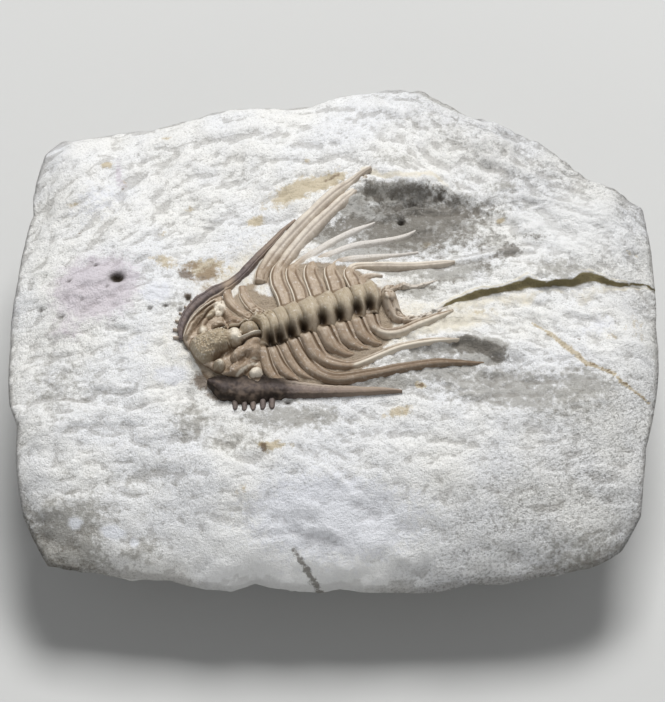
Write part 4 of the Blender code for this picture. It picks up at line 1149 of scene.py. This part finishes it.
def stoneColourGroup(millimetres):
    # pale chalky rock: cool and warm patches, mottling, speckle, crumbs and grit, with its relief
    tree, given, end = newGroup("stone_colour", {"Coarse": "NodeSocketFloat"},
                                {"Colour": "NodeSocketColor", "Height": "NodeSocketFloat"})
    places = useGroup(tree, millimetres)
    place, fabric, coarse = places["Place"], places["Fabric"], given["Coarse"]
    speckle = noise(tree, fabric, 4.2, 3.0, 0.75)
    crumbs = noise(tree, place, 3.2, 5.0, 0.75)
    grit = noise(tree, place, 7.0, 3.0, 0.75)
    flecks = noise(tree, fabric, 5.0, 3.0, 0.8)
    white = (0.93, 0.93, 0.92)
    colour = coated(tree, (0.80, 0.805, 0.82), [
        (noise(tree, place, 0.16, 3.0), (0.35, 0.65), 1.0, (0.84, 0.83, 0.80)),
        (noise(tree, fabric, 1.3, 3.0, 0.65), (0.55, 0.3), 0.16, (0.46, 0.465, 0.47)),
        (speckle, (0.5, 0.3), plus(tree, 0.4, times(tree, coarse, 0.4)), (0.33, 0.325, 0.31)),
        (crumbs, (0.5, 0.68), 0.6, white),
        (grit, (0.47, 0.34), 0.6, (0.32, 0.31, 0.29)),
        (flecks, (0.5, 0.38), coarse, (0.16, 0.15, 0.135)),
        (flecks, (0.56, 0.66), coarse, white)])
    height = plus(tree, plus(tree, crumbs, times(tree, speckle, 0.5)), times(tree, grit, 0.35))
    feed(tree, end, {"Colour": colour, "Height": height})
    return tree


def stoneMaterial(millimetres, stoneColour):
    material, tree, shader = newFinish("pale_limestone", 0.92, 0.2)
    coarse, hollow = attribute(tree, "coarse"), attribute(tree, "hollow")
    rock = useGroup(tree, stoneColour, Coarse=coarse)
    ragged = noise(tree, useGroup(tree, millimetres)["Place"], 1.8, 5.0, 0.7)
    # painted shade in hollows and painted highlight on rises
    colour = coated(tree, rock["Colour"], [(hollow, (0.1, 1.0), 0.28, (0.30, 0.285, 0.26)),
                                           (hollow, (-0.1, -1.0), 0.22, (0.86, 0.855, 0.84))])
    for name, stain, spread, strength in stains:
        amount = attribute(tree, name)
        raised = plus(tree, amount, times(tree, plus(tree, ragged, -0.5), spread * 2.0))
        inside = times(tree, fade(tree, raised, 0.26, 0.68), strength)
        colour = coated(tree, colour, [(amount, (0.02, 0.2), inside, stain)])
    # deeper painted shade in hollows
    colour = coated(tree, colour, [(hollow, (0.3, 1.0), 0.15, (0.12, 0.1, 0.08)),
                                   # pit: painted near-black shade in pits and holes
                                   (attribute(tree, "pit"), None, 1.0, (0.05, 0.04, 0.03))])
    height = times(tree, rock["Height"], plus(tree, 1.0, times(tree, coarse, 0.8)))
    rubble = times(tree, ragged, times(tree, attribute(tree, "rubble"), 4.0))
    finished(tree, shader, colour, plus(tree, height, rubble), 0.2, 1.0)
    return material


def shellMaterial(millimetres, stoneColour):
    material, tree, shader = newFinish("tan_shell", 0.5, 0.25)
    place = useGroup(tree, millimetres)["Place"]
    lengthwise = addNode(tree, "ShaderNodeCombineXYZ",
                         {"X": times(tree, attribute(tree, "run"), 0.8),
                          "Y": times(tree, attribute(tree, "across"), 7.0)})[0]
    streaks = noise(tree, lengthwise, 1.0, 2.0)
    patches = noise(tree, place, 1.1, 3.0, 0.6)
    grains = noise(tree, place, 6.0, 2.0)
    flecks = noise(tree, place, 3.2, 4.0, 0.7)
    worn = plus(tree, attribute(tree, "cream"), times(tree, plus(tree, patches, -0.5), 0.8))
    hollow, pale = attribute(tree, "hollow"), attribute(tree, "pale")
    dusty = mixed(tree, 0.5, useGroup(tree, stoneColour, Coarse=0.0)["Colour"], (0.46, 0.41, 0.34))
    colour = coated(tree, (0.32, 0.25, 0.185), [
        (patches, (0.35, 0.65), 1.0, (0.45, 0.37, 0.285)),
        (attribute(tree, "rose"), None, 0.75, (0.25, 0.18, 0.125)),
        (attribute(tree, "olive"), None, 0.8, (0.35, 0.295, 0.205)),
        (streaks, (0.52, 0.3), 0.45, (0.25, 0.17, 0.11)),
        (streaks, (0.55, 0.75), 0.35, (0.55, 0.465, 0.37)),
        (grains, (0.5, 0.3), 0.3, (0.22, 0.16, 0.10)),
        (flecks, (0.56, 0.7), 0.45, (0.74, 0.70, 0.66)),
        (flecks, (0.46, 0.34), 0.35, (0.22, 0.15, 0.075)),
        (worn, (0.25, 0.9), 0.85, (0.70, 0.64, 0.54)),
        # umber: dark brown, mostly painted shade in grooves, crevices and shaded flanks
        (attribute(tree, "umber"), (0.1, 1.0), 0.75, (0.12, 0.078, 0.045)),
        # painted shade in hollows and painted highlight on rises
        (hollow, (0.1, 0.9), 0.7, (0.13, 0.085, 0.05)),
        (hollow, (-0.3, -1.0), 0.14, (0.72, 0.66, 0.56)),
        (pale, None, 0.85, dusty),
        # pit: painted near-black shade in pits
        (attribute(tree, "pit"), (0.0, 1.0), 1.0, (0.035, 0.023, 0.014))])
    height = plus(tree, times(tree, grains, 0.6), times(tree, streaks, 0.8))
    finished(tree, shader, colour, height, 0.06, 0.5)
    feed(tree, shader, {"Roughness": plus(tree, 0.5, times(tree, pale, 0.35))})
    return material


def darkShellMaterial(millimetres):
    material, tree, shader = newFinish("purple_brown_shell", 0.65, 0.15)
    place = useGroup(tree, millimetres)["Place"]
    grains = noise(tree, place, 5.0, 3.0, 0.6)
    colour = coated(tree, (0.12, 0.095, 0.092), [
        (grains, (0.35, 0.65), 1.0, (0.20, 0.165, 0.16)),
        # depth: near-black, partly dark shell and partly painted shade on the left plate
        (attribute(tree, "depth"), None, 1.0, (0.024, 0.017, 0.013)),
        (noise(tree, place, 1.3, 2.0), (0.45, 0.7), 0.25, (0.28, 0.21, 0.16)),
        (attribute(tree, "rim"), None, 0.8, (0.52, 0.44, 0.36)),
        (attribute(tree, "tan"), None, 1.0, (0.32, 0.25, 0.19)),
        # painted shade in hollows
        (attribute(tree, "hollow"), (0.1, 0.9), 0.6, (0.03, 0.022, 0.018))])
    finished(tree, shader, colour, grains, 0.06, 0.5)
    return material


# the studio: lights as place, aim, size in metres and power
studio = dict(
    floorHalf=2.0, floorColour=(0.50, 0.50, 0.49), floorRoughness=0.8, sky=(0.96, 0.98, 1.0),
    skyStrength=0.27,
    lights=dict(back_softbox=((40, 190, 400), (0, 0, 15), (0.16, 0.16), 2.25),
                front_fill=((-60, -270, 170), (0, 0, 10), (0.3, 0.2), 0.14)))
view = dict(elevation=64, distance=260, target=(-0.12, -4, 17), pixelsPerRadian=3250,
            pictureHeight=702, sensor=36)


def areaLight(name, place, aim, size, power):
    lamp = bpy.data.lights.new(name, "AREA")
    lamp.shape = "RECTANGLE"
    lamp.size, lamp.size_y = size
    lamp.energy = power
    holder = bpy.data.objects.new(name, lamp)
    bpy.context.scene.collection.objects.link(holder)
    holder.location = [v * mm for v in place]
    direction = np.array(aim) - np.array(place)
    flat = math.hypot(direction[0], direction[1])
    holder.rotation_euler = (math.atan2(flat, -direction[2]), 0.0,
                             math.atan2(direction[1], direction[0]) - math.pi / 2.0)


def buildStudio():
    scene = bpy.context.scene
    mesh = bpy.data.meshes.new("floor")
    half = studio["floorHalf"]
    mesh.from_pydata([(-half, -half, 0.0), (half, -half, 0.0), (half, half, 0.0), (-half, half, 0.0)],
                     [], [(0, 1, 2, 3)])
    floor = bpy.data.objects.new("floor", mesh)
    scene.collection.objects.link(floor)
    paper, tree, shader = newFinish("floor_paper", studio["floorRoughness"])
    feed(tree, shader, {"Base Color": studio["floorColour"]})
    mesh.materials.append(paper)
    scene.world = bpy.data.worlds.new("studio")
    scene.world.use_nodes = True
    tree = scene.world.node_tree
    feed(tree, tree.nodes["Background"], {"Color": studio["sky"], "Strength": studio["skyStrength"]})
    for name, light in studio["lights"].items():
        areaLight(name, *light)
    scene.view_settings.view_transform = "Standard"


def placeCamera():
    lens = bpy.data.cameras.new("camera")
    camera = bpy.data.objects.new("camera", lens)
    bpy.context.scene.collection.objects.link(camera)
    tilt = math.radians(view["elevation"])
    x, y, z = view["target"]
    camera.location = (x * mm, (y - view["distance"] * math.cos(tilt)) * mm,
                       (z + view["distance"] * math.sin(tilt)) * mm)
    camera.rotation_euler = (math.pi / 2.0 - tilt, 0.0, 0.0)
    lens.sensor_width = view["sensor"]
    lens.lens = view["sensor"] * view["pixelsPerRadian"] / view["pictureHeight"]
    lens.clip_start = 0.01
    bpy.context.scene.camera = camera


millimetres = millimetreGroup()
stoneColour = stoneColourGroup(millimetres)
finishes = {
    "limestone": stoneMaterial(millimetres, stoneColour),
    "fossil_shell": shellMaterial(millimetres, stoneColour),
    "dark_shell": darkShellMaterial(millimetres),
}
print("materials ready")
placeCamera()
buildStone()
print("stone built")
buildHead()
buildCheek("right")
buildCheek("left")
for number, segment in enumerate(segments, start=1):
    buildSegment(number, segment)
buildTail()
print("shell built")
buildStudio()
print("studio lit")
